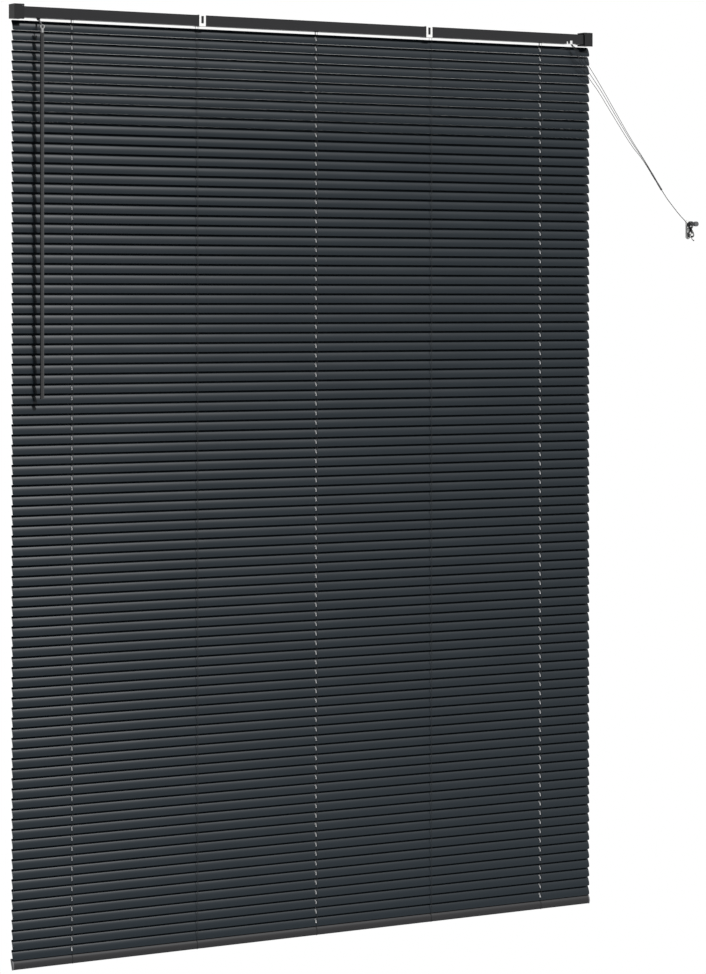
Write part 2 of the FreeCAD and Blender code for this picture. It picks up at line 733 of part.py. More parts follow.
def ladder(x, first, last, top):
    """Two strings and the rungs between them, for the slats from first to last.

    The strings start at the height top, or on a cut halfway between two rungs if top is None.
    """
    half_rung = rung_thickness / 2 / math.cos(tilt)
    half_pitch = slat_pitch / 2
    foot = bottom_z + 9.5
    outline = []
    if top is None:
        outline.append((-string_outer, rung_z(first, -string_outer) + half_pitch))
        outline.append((string_outer, rung_z(first, string_outer) + half_pitch))
    else:
        outline += [(-string_outer, top), (-string_inner, top),
                    (-string_inner, rung_z(first, -string_inner) + half_rung),
                    (string_inner, rung_z(first, string_inner) + half_rung),
                    (string_inner, top), (string_outer, top)]
    if last == slat_count:
        outline += [(string_outer, bottom_z + 12), (string_inner, bottom_z + 12),
                    (string_inner, rung_z(last, string_inner) - half_rung),
                    (-string_inner, rung_z(last, -string_inner) - half_rung),
                    (-string_inner, foot), (-string_outer, foot)]
    else:
        outline.append((string_outer, rung_z(last, string_outer) - half_pitch))
        outline.append((-string_outer, rung_z(last, -string_outer) - half_pitch))
    near = x + tape_offset
    whole = prism_x([(middle_y + y, z) for y, z in outline], near, near + tape_thickness)
    windows = []
    starts = range(first, last)
    for number in starts:
        corners = [(-string_inner, rung_z(number, -string_inner) - half_rung),
                   (string_inner, rung_z(number, string_inner) - half_rung),
                   (string_inner, rung_z(number + 1, string_inner) + half_rung),
                   (-string_inner, rung_z(number + 1, -string_inner) + half_rung)]
        windows.append(prism_x([(middle_y + y, z) for y, z in corners], near, near + tape_thickness))
    if top is None:
        windows.append(half_window(first, near, half_rung, half_pitch, 1))
    if last != slat_count:
        windows.append(half_window(last, near, half_rung, half_pitch, -1))
    whole = cut(whole, windows)
    if last == slat_count:
        rail = bottom_section(-clear_gap / 2, near - 1, near + tape_thickness + 1)
        whole = whole.cut(hang_at_bottom(rail))
    if top is not None:
        drum = bar_x(drum_core + 0.2, x - 4, x + 4, middle_y, rod_z)
        whole = whole.cut(drum)
    return whole


def half_window(number, near, half_rung, half_pitch, side):
    """The half of a window between a rung and the cut between the two lengths of ladder."""
    corners = [(-string_inner, rung_z(number, -string_inner) + side * half_rung),
               (string_inner, rung_z(number, string_inner) + side * half_rung),
               (string_inner, rung_z(number, string_inner) + side * (half_pitch + 1)),
               (-string_inner, rung_z(number, -string_inner) + side * (half_pitch + 1))]
    return prism_x([(middle_y + y, z) for y, z in corners], near, near + tape_thickness)


# ---------------------------------------------------------------- bottom rail
def bottom_section(shrink, x0, x1):
    """Closed D-shaped bar between two planes of constant x, about its own middle, level."""
    half = bottom_width / 2 - shrink
    low = -bottom_height / 2 + shrink
    high = bottom_height / 2 - shrink
    rise = bottom_height - bottom_shoulder
    crown_radius = ((bottom_width / 2) ** 2 + rise ** 2) / (2 * rise)
    crown_middle = bottom_height / 2 - crown_radius
    shoulder = crown_middle + math.sqrt((crown_radius - shrink) ** 2 - half ** 2)
    corner = bottom_corner - shrink * (2 - math.sqrt(2))
    start = vector(x0, -half, shoulder)
    end = vector(x0, half, shoulder)
    crown = Part.Arc(end, vector(x0, 0, high), start)
    edges = [Part.LineSegment(start, vector(x0, -half, low + corner)).toShape(),
             Part.LineSegment(vector(x0, -half, low + corner), vector(x0, corner - half, low)).toShape(),
             Part.LineSegment(vector(x0, corner - half, low), vector(x0, half - corner, low)).toShape(),
             Part.LineSegment(vector(x0, half - corner, low), vector(x0, half, low + corner)).toShape(),
             Part.LineSegment(vector(x0, half, low + corner), end).toShape(),
             crown.toShape()]
    return Part.Face(Part.Wire(edges)).extrude(vector(x1 - x0, 0, 0))


def hang_at_bottom(shape):
    """Turn a level piece to the closed tilt and move it to the bottom rail's place."""
    shape.rotate(vector(0, 0, 0), vector(1, 0, 0), closed_tilt)
    shape.translate(vector(0, middle_y, bottom_z))
    return shape


def bottom_rail():
    tube_solid = bottom_section(0, -rail_half, rail_half).cut(bottom_section(bottom_wall, -rail_half,
                                                                             rail_half))
    slots = [box(x - 2, x + 2, -bottom_slot / 2, bottom_slot / 2, 0, bottom_height / 2)
             for x in lift_stations]
    holes = [bar(plug_radius - 0.9, vector(x, 0, -bottom_height / 2 - 1), vector(x, 0, -2))
             for x in stations]
    return hang_at_bottom(cut(tube_solid, slots + holes))


def bottom_rail_cap():
    """Cap for the right end: a flange the size of the rail and a plug inside it."""
    flange = bottom_section(-0.3, rail_half, rail_half + bottom_cap_thickness)
    plug = bottom_section(bottom_wall + 0.15, rail_half - 8, rail_half)
    return hang_at_bottom(fuse([flange, plug]))


def bottom_rail_plug(x):
    """Button on the rail's flat side with a short stem through its hole."""
    low = -bottom_height / 2
    button = bar(plug_radius, vector(x, 0, low - plug_height), vector(x, 0, low))
    stem = bar(plug_radius - 1, vector(x, 0, low), vector(x, 0, low + 1.5))
    return hang_at_bottom(fuse([button, stem]))


# ---------------------------------------------------------------- cleat, joiner and pull cords
cleat_z = -cleat_drop
upper_peg_z = cleat_z + peg_spread / 2
lower_peg_z = cleat_z - peg_spread / 2


def cleat_plate():
    """Wall plate with two screw holes and the short lower post."""
    plate = box(cleat_x - cleat_width / 2, cleat_x + cleat_width / 2, -cleat_thickness, 0,
                cleat_z - cleat_height / 2, cleat_z + cleat_height / 2)
    upright = [edge for edge in plate.Edges if abs(edge.Vertexes[0].Y - edge.Vertexes[1].Y) > 1]
    plate = plate.makeFillet(cleat_width / 2 - 0.5, upright)
    holes = [bar(cleat_hole, vector(cleat_x, -cleat_thickness, z), vector(cleat_x, 0, z))
             for z in (cleat_z - cleat_hole_spacing / 2, cleat_z + cleat_hole_spacing / 2)]
    post = bar(post_radius, vector(cleat_x, -post_length, lower_peg_z),
               vector(cleat_x, -cleat_thickness, lower_peg_z))
    return fuse([cut(plate, holes), post])


def cleat_peg():
    """Upper peg with its round head."""
    shaft = bar(peg_radius, vector(cleat_x, -peg_length, upper_peg_z),
                vector(cleat_x, -cleat_thickness, upper_peg_z))
    head = bar(peg_head_radius, vector(cleat_x, -peg_length - peg_head_length, upper_peg_z),
               vector(cleat_x, -peg_length, upper_peg_z))
    return fuse([shaft, head])


def cleat_winding():
    """Outer shape of the cord wound in a figure of eight round the peg and the post."""
    rings = []
    for z in (upper_peg_z, lower_peg_z):
        rings.append(bar(winding_radius, vector(cleat_x, -winding_front, z),
                         vector(cleat_x, -winding_back, z)))
    waist = box(cleat_x - 3.5, cleat_x + 3.5, -winding_front, -winding_back, lower_peg_z, upper_peg_z)
    bores = [bar(peg_radius + 0.3, vector(cleat_x, -winding_front, z), vector(cleat_x, -winding_back, z))
             for z in (upper_peg_z, lower_peg_z)]
    return cut(fuse(rings + [waist]), bores)


def from_lock(points):
    """Points given as x from the cords' way out, y from the joiner's plane and z from the rail's floor."""
    return [vector(exit_x + x, joiner_y + y, rail_floor + z) for x, y, z in points]


joiner_y = exit_y(2) + joiner_behind
joiner_top = from_lock([(252.8, 0, -320.3)])[0]
joiner_end = from_lock([(285.3, 0, -363.9)])[0]
joiner_way = (joiner_end - joiner_top).normalize()
joiner_side = vector(-joiner_way.z, 0, joiner_way.x)


def pull_cord(place, middle_points):
    """Cord from the lock to the joiner; place is 1, 2 or 3 from the front."""
    forward = exit_y(place) - joiner_y
    end = joiner_top + joiner_side * (1.6 * (2 - place))
    points = from_lock([(0, forward, 0), (0, forward, -3.2)] + middle_points)
    points += [end - joiner_way * 45, end]
    return tube(f"pull cord {place}", points, lift_cord_radius)


pull_routes = {
    1: [(5.3, -15.2, -9.1), (19.3, -16.0, -23.5), (46.3, -15.4, -54.5), (71.5, -12.5, -84.5),
        (96.0, -8.6, -114.1), (133.5, -6.6, -165.0), (170.3, -5.0, -215.9), (198.0, -3.0, -250.5)],
    2: [(3.9, -15.3, -10.9), (15.0, -16.0, -28.5), (29.0, -16.1, -49.0), (46.3, -15.6, -70.5),
        (87.7, -9.4, -114.1), (126.5, -6.8, -165.0), (165.7, -5.0, -215.9), (196.0, -2.6, -252.5)],
    3: [(2.5, -15.4, -12.5), (13.0, -16.2, -34.5), (28.0, -16.3, -60.0), (46.3, -15.8, -85.5),
        (78.7, -10.0, -115.5), (117.5, -7.0, -165.0), (157.9, -5.0, -215.9), (192.0, -2.3, -256.5)],
}


def cord_joiner():
    return bar(joiner_radius, joiner_top, joiner_top + joiner_way * joiner_length)


def pull_cord_main():
    """Single cord from the joiner to the winding on the cleat."""
    start = joiner_top + joiner_way * joiner_length
    arrive = vector(cleat_x, -(winding_back + winding_front) / 2, upper_peg_z)
    way_in = vector(0.76, 0, -0.65).normalize()
    end = arrive - way_in * (winding_radius + 0.3)
    points = [start, start + joiner_way * 22] + from_lock([(318.0, 1.2, -401.5), (346.0, 3.2, -428.5)])
    points.append(end)
    return tube("main pull cord", points, main_cord_radius)


# ---------------------------------------------------------------- the whole blind
def build():
    save("headrail", [headrail()])
    cap = rail_end_cap()
    save("rail_end_caps", [mirrored(cap), cap])
    bracket = end_bracket()
    save("end_bracket_left", [mirrored(bracket)])
    save("end_bracket_right", [bracket])
    door = bracket_door()
    save("bracket_door_left", [mirrored(door)])
    save("bracket_door_right", [door])
    save("door_pins", [mirrored(door_pin()), door_pin()])
    support = centre_support()
    save("centre_supports", [mirrored(support), support])

    save("tilt_rod", [tilt_rod()])
    save("ladder_drums", [ladder_drum(x) for x in stations])
    save("drum_cradles", [drum_cradle(x) for x in stations])
    save("tilter_housing", [tilter_housing()])
    save("tilter_gear", [tilter_gear()])
    save("tilter_worm", [tilter_worm()])
    save("wand_hook", [wand_hook()])
    save("wand", [wand()])

    save("cord_lock_body", [cord_lock_body()])
    save("cord_lock_pulley", [cord_lock_pulley()])
    save("cord_lock_pawl", [cord_lock_pawl()])
    save("cord_lock_clip", [cord_lock_clip()])
    save("lift_cords_upper", [lift_cord_upper(place) for place in (1, 2, 3)])
    save("lift_cords_lower", [lift_cord_lower(x) for x in lift_stations])

    slats()
    save("ladders_upper", [ladder(x, 1, single_slats, rod_z) for x in stations])
    save("ladders_lower", [ladder(x, single_slats + 1, slat_count, None) for x in stations])

    save("bottom_rail", [bottom_rail()])
    save("bottom_rail_caps", [mirrored(bottom_rail_cap()), bottom_rail_cap()])
    save("bottom_rail_plugs", [bottom_rail_plug(x) for x in stations])
    save("lift_knots", [lift_knot(x) for x in lift_stations])

    for place, route in pull_routes.items():
        save(f"pull_cord_{place}", [pull_cord(place, route)])
    save("cord_joiner", [cord_joiner()])
    save("pull_cord_main", [pull_cord_main()])
    save("cleat_winding", [cleat_winding()])
    save("cleat_plate", [cleat_plate()])
    save("cleat_peg", [cleat_peg()])
    print(f"{slat_count} slats, bottom rail's middle at {bottom_z:.1f}, cords split at {split_z:.1f}")
    print(f"hook's pivot at {pivot.x:.2f}, {pivot.y:.2f}, {pivot.z:.2f}")


build()
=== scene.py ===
"""Venetian blind with dark aluminium slats, closed and let down, dressed for rendering.

Everything is in metres in the part's own frame: the wall is the plane y = 0, the blind hangs in
front of it toward -y, and +z is up.
"""

import json
import logging
import math
from dataclasses import dataclass, field
from enum import Enum
from typing import Sequence

import bpy
import numpy as np
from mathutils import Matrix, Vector

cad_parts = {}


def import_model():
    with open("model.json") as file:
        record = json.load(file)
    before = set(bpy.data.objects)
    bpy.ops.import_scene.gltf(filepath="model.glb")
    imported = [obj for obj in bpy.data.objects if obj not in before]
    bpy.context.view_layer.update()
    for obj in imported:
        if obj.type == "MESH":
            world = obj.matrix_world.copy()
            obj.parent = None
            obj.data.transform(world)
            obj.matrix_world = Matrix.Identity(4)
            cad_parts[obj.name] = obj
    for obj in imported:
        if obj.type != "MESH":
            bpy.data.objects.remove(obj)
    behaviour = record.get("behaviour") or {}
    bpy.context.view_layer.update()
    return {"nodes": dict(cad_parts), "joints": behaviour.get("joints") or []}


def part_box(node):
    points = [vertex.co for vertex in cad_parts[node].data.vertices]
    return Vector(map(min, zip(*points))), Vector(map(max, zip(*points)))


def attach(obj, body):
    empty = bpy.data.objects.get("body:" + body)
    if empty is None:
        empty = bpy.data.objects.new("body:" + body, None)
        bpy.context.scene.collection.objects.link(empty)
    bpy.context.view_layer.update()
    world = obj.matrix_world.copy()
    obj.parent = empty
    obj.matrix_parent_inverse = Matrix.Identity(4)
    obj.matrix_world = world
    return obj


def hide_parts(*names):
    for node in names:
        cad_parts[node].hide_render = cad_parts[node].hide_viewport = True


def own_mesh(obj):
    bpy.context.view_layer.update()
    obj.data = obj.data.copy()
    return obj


LOG = logging.getLogger("blind")
Points = Sequence[tuple[float, float, float]]
Mesh = tuple[np.ndarray, np.ndarray]
Tube = tuple[np.ndarray, np.ndarray, np.ndarray]

# Millimetres in a metre, edges and rounds, and how many faces go round each kind of round piece.
MM = 1000
SHARP_ANGLE = math.radians(35)
ROUND_ANGLE = math.radians(40)
ROUND_SEGMENTS = 2
WELD_REACH = 1e-6
THIN_SIDES = 6
CORD_SIDES = 8
BRAID_SIDES = 10
TURNED_SIDES = 24


# ------------------------------------------------------------------------------- finishes
# The Mix node's colour sockets by number, then what the noises and the relief are made with.
MIX_FACTOR, MIX_FIRST, MIX_SECOND, MIX_RESULT = 0, 6, 7, 2
CLOUD_SCALE = 9.0
SMEAR_SCALE = 35.0
SMEAR_STRETCH = (0.2, 1.0, 1.0)
SMEAR_LOW, SMEAR_HIGH = 0.88, 1.12
DRAWN_STRETCH = (0.01, 1.0, 1.0)
COAT_ROUGHNESS = 0.25
RELIEF_DEPTH = 0.1
STRAND_SCALE = 2.0


class Bump(Enum):
    """What the fine relief of a finish looks like."""

    ORANGE_PEEL = "orange peel"
    MOULDED = "moulded"
    DRAWN = "drawn"
    BRAID = "braid"


def linear(channel: float) -> float:
    """One display channel as a scene value, by the sRGB curve."""
    return channel / 12.92 if channel <= 0.04045 else ((channel + 0.055) / 1.055) ** 2.4


@dataclass(frozen=True)
class Finish:
    """One surface finish and the nodes that make it.

    Args:
        name: what the material is called.
        colour: display red, green and blue.
        roughness: mean roughness.
        metallic: 1 for bare metal.
        specular: the shader's specular level.
        variation: how far the colour wanders, as a share of itself.
        bump: which relief.
        relief: strength of the relief.
        grain: size of the relief's features in metres.
        coat: weight of a clear coat.
    """

    name: str
    colour: tuple[float, float, float]
    roughness: float
    metallic: float = 0.0
    specular: float = 0.5
    variation: float = 0.08
    bump: Bump = Bump.ORANGE_PEEL
    relief: float = 0.15
    grain: float = 0.0008
    coat: float = 0.0

    def material(self) -> bpy.types.Material:
        """The finish's material, made once and then reused.

        Returns:
            The material with its nodes.
        """
        made = bpy.data.materials.get(self.name)
        if made is not None:
            return made
        made = bpy.data.materials.new(self.name)
        made.use_nodes = True
        tree = made.node_tree
        shader = tree.nodes["Principled BSDF"]
        shader.inputs["Metallic"].default_value = self.metallic
        shader.inputs["Specular IOR Level"].default_value = self.specular
        shader.inputs["Coat Weight"].default_value = self.coat
        shader.inputs["Coat Roughness"].default_value = COAT_ROUGHNESS
        place = tree.nodes.new("ShaderNodeTexCoord")
        where = place.outputs["UV" if self.bump is Bump.BRAID else "Object"]
        self._colour(tree, shader, where)
        self._roughness(tree, shader, where)
        self._relief(tree, shader, where)
        made.diffuse_color = (*self.colour, 1.0)
        return made

    def _noise(self, tree: bpy.types.NodeTree, where: bpy.types.NodeSocket, scale: float,
               stretch: tuple[float, float, float] = (1, 1, 1), detail: float = 3.0
               ) -> bpy.types.NodeSocket:
        """A noise that runs at a scale per metre, drawn out by stretch.

        Args:
            tree: the material's nodes.
            where: the coordinates it reads.
            scale: features per metre.
            stretch: scale along x, y and z; less than 1 draws the noise out.
            detail: how many finer layers it has.

        Returns:
            The noise's socket, 0 to 1.
        """
        mapping = tree.nodes.new("ShaderNodeMapping")
        mapping.inputs["Scale"].default_value = stretch
        noise = tree.nodes.new("ShaderNodeTexNoise")
        noise.inputs["Scale"].default_value = scale
        noise.inputs["Detail"].default_value = detail
        tree.links.new(where, mapping.inputs["Vector"])
        tree.links.new(mapping.outputs["Vector"], noise.inputs["Vector"])
        return noise.outputs["Fac"]

    def _colour(self, tree: bpy.types.NodeTree, shader: bpy.types.Node,
                where: bpy.types.NodeSocket) -> None:
        """Base colour that wanders a little, as sprayed paint or moulded plastic does.

        Args:
            tree: the material's nodes.
            shader: the node that takes the colour.
            where: the coordinates it reads.
        """
        ramp = tree.nodes.new("ShaderNodeMix")
        ramp.data_type = "RGBA"
        base = [linear(c) for c in self.colour]
        ramp.inputs[MIX_FIRST].default_value = (*[c * (1 - self.variation) for c in base], 1)
        ramp.inputs[MIX_SECOND].default_value = (*[c * (1 + self.variation) for c in base], 1)
        cloud = self._noise(tree, where, CLOUD_SCALE)
        tree.links.new(cloud, ramp.inputs[MIX_FACTOR])
        tree.links.new(ramp.outputs[MIX_RESULT], shader.inputs["Base Color"])

    def _roughness(self, tree: bpy.types.NodeTree, shader: bpy.types.Node,
                   where: bpy.types.NodeSocket) -> None:
        """Roughness with faint handling marks.

        Args:
            tree: the material's nodes.
            shader: the node that takes the roughness.
            where: the coordinates it reads.
        """
        spread = tree.nodes.new("ShaderNodeMapRange")
        spread.inputs["To Min"].default_value = self.roughness * SMEAR_LOW
        spread.inputs["To Max"].default_value = self.roughness * SMEAR_HIGH
        smear = self._noise(tree, where, SMEAR_SCALE, SMEAR_STRETCH)
        tree.links.new(smear, spread.inputs["Value"])
        tree.links.new(spread.outputs["Result"], shader.inputs["Roughness"])

    def _relief(self, tree: bpy.types.NodeTree, shader: bpy.types.Node,
                where: bpy.types.NodeSocket) -> None:
        """Fine relief: spray texture, mould grain, drawing lines or a braid's crossing strands.

        Args:
            tree: the material's nodes.
            shader: the node that takes the bumped normal.
            where: the coordinates it reads.
        """
        bump = tree.nodes.new("ShaderNodeBump")
        bump.inputs["Strength"].default_value = self.relief
        bump.inputs["Distance"].default_value = self.grain * RELIEF_DEPTH
        if self.bump is Bump.BRAID:
            height = self._braid(tree, where)
        elif self.bump is Bump.DRAWN:
            height = self._noise(tree, where, 1 / self.grain, DRAWN_STRETCH, 2.0)
        elif self.bump is Bump.MOULDED:
            height = self._noise(tree, where, 1 / self.grain, detail=5.0)
        else:
            height = self._noise(tree, where, 0.5 / self.grain, detail=1.0)
        tree.links.new(height, bump.inputs["Height"])
        tree.links.new(bump.outputs["Normal"], shader.inputs["Normal"])

    def _braid(self, tree: bpy.types.NodeTree, where: bpy.types.NodeSocket
               ) -> bpy.types.NodeSocket:
        """Height of two sets of strands that cross round the cord, the greater of two waves.

        Args:
            tree: the material's nodes.
            where: the cord's own texture coordinates.

        Returns:
            The height's socket, 0 to 1.
        """
        heights = []
        for lean in (1.0, -1.0):
            mapping = tree.nodes.new("ShaderNodeMapping")
            mapping.inputs["Rotation"].default_value = (0, 0, lean * math.pi / 4)
            wave = tree.nodes.new("ShaderNodeTexWave")
            wave.inputs["Scale"].default_value = STRAND_SCALE
            tree.links.new(where, mapping.inputs["Vector"])
            tree.links.new(mapping.outputs["Vector"], wave.inputs["Vector"])
            heights.append(wave.outputs["Fac"])
        greater = tree.nodes.new("ShaderNodeMath")
        greater.operation = "MAXIMUM"
        tree.links.new(heights[0], greater.inputs[0])
        tree.links.new(heights[1], greater.inputs[1])
        return greater.outputs[0]


SLAT_PAINT = Finish("slat_paint", (0.080, 0.111, 0.133), 0.24, specular=0.22, variation=0.05,
                    grain=0.0006, relief=0.05)
RAIL_PAINT = Finish("rail_paint", (0.165, 0.165, 0.17), 0.42, specular=0.12, relief=0.12)
BRACKET_PAINT = Finish("bracket_paint", (0.11, 0.11, 0.115), 0.45, specular=0.18, relief=0.2)
BLACK_PLASTIC = Finish("black_plastic", (0.032, 0.032, 0.034), 0.58, bump=Bump.MOULDED,
                       relief=0.25, grain=0.0004, specular=0.06)
WAND_PLASTIC = Finish("wand_plastic", (0.060, 0.063, 0.068), 0.3, bump=Bump.MOULDED, relief=0.06,
                      grain=0.0006, coat=0.2)
PALE_PLASTIC = Finish("pale_plastic", (0.88, 0.88, 0.87), 0.45, bump=Bump.MOULDED, relief=0.15,
                      grain=0.0004, variation=0.03)
HOOK_PLASTIC = Finish("hook_plastic", (0.62, 0.62, 0.62), 0.45, bump=Bump.MOULDED, relief=0.15,
                      variation=0.03)
PALE_METAL = Finish("pale_metal", (0.50, 0.50, 0.50), 0.4, specular=0.3, relief=0.1,
                    variation=0.03)
BRIGHT_METAL = Finish("bright_metal", (0.70, 0.70, 0.70), 0.25, metallic=1.0, bump=Bump.DRAWN,
                      relief=0.15, grain=0.0003, variation=0.03)
WHITE_PLASTIC = Finish("white_plastic", (0.93, 0.93, 0.92), 0.5, bump=Bump.MOULDED, relief=0.1,
                       grain=0.0004, variation=0.02)
STEEL = Finish("drawn_steel", (0.62, 0.62, 0.62), 0.35, metallic=1.0, bump=Bump.DRAWN, relief=0.3,
               grain=0.0003)
CORD_BRAID = Finish("cord_braid", (0.09, 0.092, 0.095), 0.75, bump=Bump.BRAID, relief=0.6,
                    grain=0.0012, variation=0.15, specular=0.3)
STRING_BRAID = Finish("string_braid", (0.13, 0.135, 0.14), 0.8, bump=Bump.MOULDED, relief=0.4,
                      grain=0.0004, variation=0.15, specular=0.25)


# ------------------------------------------------------------------------------- mesh helpers
def new_piece(name: str, vertices: np.ndarray, faces: np.ndarray, finish: Finish,
              uv: np.ndarray | None = None) -> bpy.types.Object:
    """A mesh object at the origin from whole arrays, shaded smooth up to the sharp-edge angle.

    Args:
        name: the piece's name.
        vertices: n by 3 places in metres.
        faces: m by 4 vertex numbers, counter-clockwise from outside.
        finish: what covers it.
        uv: 4m by 2 texture places, one for each face corner.

    Returns:
        The linked object.
    """
    mesh = bpy.data.meshes.new(name)
    count = len(faces)
    mesh.vertices.add(len(vertices))
    mesh.vertices.foreach_set("co", np.asarray(vertices, np.float32).ravel())
    mesh.loops.add(count * 4)
    mesh.loops.foreach_set("vertex_index", np.asarray(faces, np.int32).ravel())
    mesh.polygons.add(count)
    mesh.polygons.foreach_set("loop_start", np.arange(0, count * 4, 4, dtype=np.int32))
    mesh.update(calc_edges=True)
    if uv is not None:
        layer = mesh.uv_layers.new(name="cord")
        layer.data.foreach_set("uv", np.asarray(uv, np.float32).ravel())
    mesh.validate()
    mesh.shade_smooth()
    mesh.set_sharp_from_angle(angle=SHARP_ANGLE)
    piece = bpy.data.objects.new(name, mesh)
    piece.data.materials.append(finish.material())
    bpy.context.scene.collection.objects.link(piece)
    return piece


def grid_faces(rows: int, columns: int, close_columns: bool = False) -> np.ndarray:
    """Quads over a grid of rows by columns vertices, counted row by row.

    Args:
        rows: how many rows of vertices.
        columns: how many vertices in each row.
        close_columns: whether each row's last vertex joins its first.

    Returns:
        m by 4 vertex numbers.
    """
    last = columns if close_columns else columns - 1
    row, column = np.meshgrid(np.arange(rows - 1), np.arange(last), indexing="ij")
    here = (row * columns + column).ravel()
    beside = (row * columns + (column + 1) % columns).ravel()
    return np.stack([here, beside, beside + columns, here + columns], axis=1)


def joined(parts: Sequence[Mesh]) -> Mesh:
    """Several meshes as one.

    Args:
        parts: vertices and quads of each.

    Returns:
        All the vertices, and the quads renumbered to match.
    """
    offsets = np.cumsum([0] + [len(vertices) for vertices, _ in parts[:-1]])
    vertices = np.concatenate([vertices for vertices, _ in parts])
    faces = np.concatenate([faces + offset for (_, faces), offset in zip(parts, offsets)])
    return vertices, faces


def extruded(section: np.ndarray, xs: np.ndarray) -> Mesh:
    """A closed (y, z) section, clockwise seen from +x, carried along x, with its ends closed.

    Args:
        section: n by 2 outline points, an even number of them, paired across the section so that
            point i and point n - 1 - i face each other.
        xs: where the section stands along x.

    Returns:
        Vertices and quads.
    """
    count = len(section)
    sides = np.empty((len(xs), count, 3))
    sides[:, :, 0] = xs[:, None]
    sides[:, :, 1:] = section
    faces = grid_faces(len(xs), count, close_columns=True)
    i = np.arange(count // 2 - 1)
    near = np.stack([i, count - 1 - i, count - 2 - i, i + 1], axis=1)[:, ::-1]
    far = near[:, ::-1] + (len(xs) - 1) * count
    return sides.reshape(-1, 3), np.concatenate([faces, near, far])


def turned(profile: np.ndarray, start: Vector, way: Vector, steps: int = TURNED_SIDES
           ) -> Mesh:
    """A lathe shape: (radius, distance along) pairs turned about an axis.

    Args:
        profile: n by 2, from one pole to the other, both with a radius near nothing.
        start: the axis's zero point.
        way: the axis's direction.
        steps: how many faces go round.

    Returns:
        Vertices and quads.
    """
    along = way.normalized()
    side = along.orthogonal().normalized()
    other = along.cross(side)
    angle = np.linspace(0, 2 * math.pi, steps, endpoint=False)
    ring = np.outer(np.cos(angle), np.array(side)) + np.outer(np.sin(angle), np.array(other))
    points = (np.array(start) + profile[:, 1, None, None] * np.array(along)
              + profile[:, 0, None, None] * ring)
    return points.reshape(-1, 3), grid_faces(len(profile), steps, close_columns=True)


def swept(points: np.ndarray, radius: float, steps: int = CORD_SIDES) -> Tube:
    """A round tube along a line of points, closed at its ends.

    The section's side vector is carried along without twist: at each point it is the last one less
    its part along the line.

    Args:
        points: n by 3 centre line.
        radius: the tube's radius.
        steps: how many faces go round.

    Returns:
        Vertices, quads and the texture place of each face corner, in tube diameters.
    """
    way = np.gradient(points, axis=0)
    way /= np.linalg.norm(way, axis=1, keepdims=True)
    side = np.empty_like(way)
    last = np.array(Vector(way[0]).orthogonal().normalized())
    for i, along in enumerate(way):
        last = last - along * np.dot(last, along)
        last = last / np.linalg.norm(last)
        side[i] = last
    other = np.cross(way, side)
    angle = np.linspace(0, 2 * math.pi, steps, endpoint=False)
    ring = (np.cos(angle)[None, :, None] * side[:, None]
            + np.sin(angle)[None, :, None] * other[:, None])
    tube = (points[:, None] + radius * ring).reshape(-1, 3)
    faces = grid_faces(len(points), steps, close_columns=True)
    run = np.concatenate([[0], np.cumsum(np.linalg.norm(np.diff(points, axis=0), axis=1))])
    run = run / (2 * radius)
    row, column = np.meshgrid(np.arange(len(points) - 1), np.arange(steps), indexing="ij")
    row, column = row.ravel(), column.ravel()
    around = math.pi / steps
    uv = np.stack([np.stack([run[row + ahead], (column + beside) * around], 1)
                   for ahead, beside in ((0, 0), (0, 1), (1, 1), (1, 0))], axis=1)
    half = np.arange(steps // 2 - 1)
    cap = np.stack([half, half + 1, steps - 2 - half, steps - 1 - half], axis=1)
    caps = np.concatenate([cap[:, ::-1], cap + (len(points) - 1) * steps])
    plain = np.zeros((len(caps) * 4, 2))
    return tube, np.concatenate([faces, caps]), np.concatenate([uv.reshape(-1, 2), plain])


def dress(node: bpy.types.Object, finish: Finish) -> None:
    """Give a carried-over node its finish and leave its shape alone."""
    node.data.materials.clear()
    node.data.materials.append(finish.material())


def soften(node: bpy.types.Object, finish: Finish, width: float) -> None:
    """Give a carried-over node its finish and small rounds along its sharp edges.

    Args:
        node: the node's object.
        finish: what covers it.
        width: how wide the rounds are, in metres.
    """
    dress(node, finish)
    weld = node.modifiers.new("weld", "WELD")
    weld.merge_threshold = WELD_REACH
    bevel = node.modifiers.new("rounds", "BEVEL")
    bevel.width = width
    bevel.segments = ROUND_SEGMENTS
    bevel.limit_method = "ANGLE"
    bevel.angle_limit = ROUND_ANGLE
    bevel.use_clamp_overlap = True
    bevel.harden_normals = False


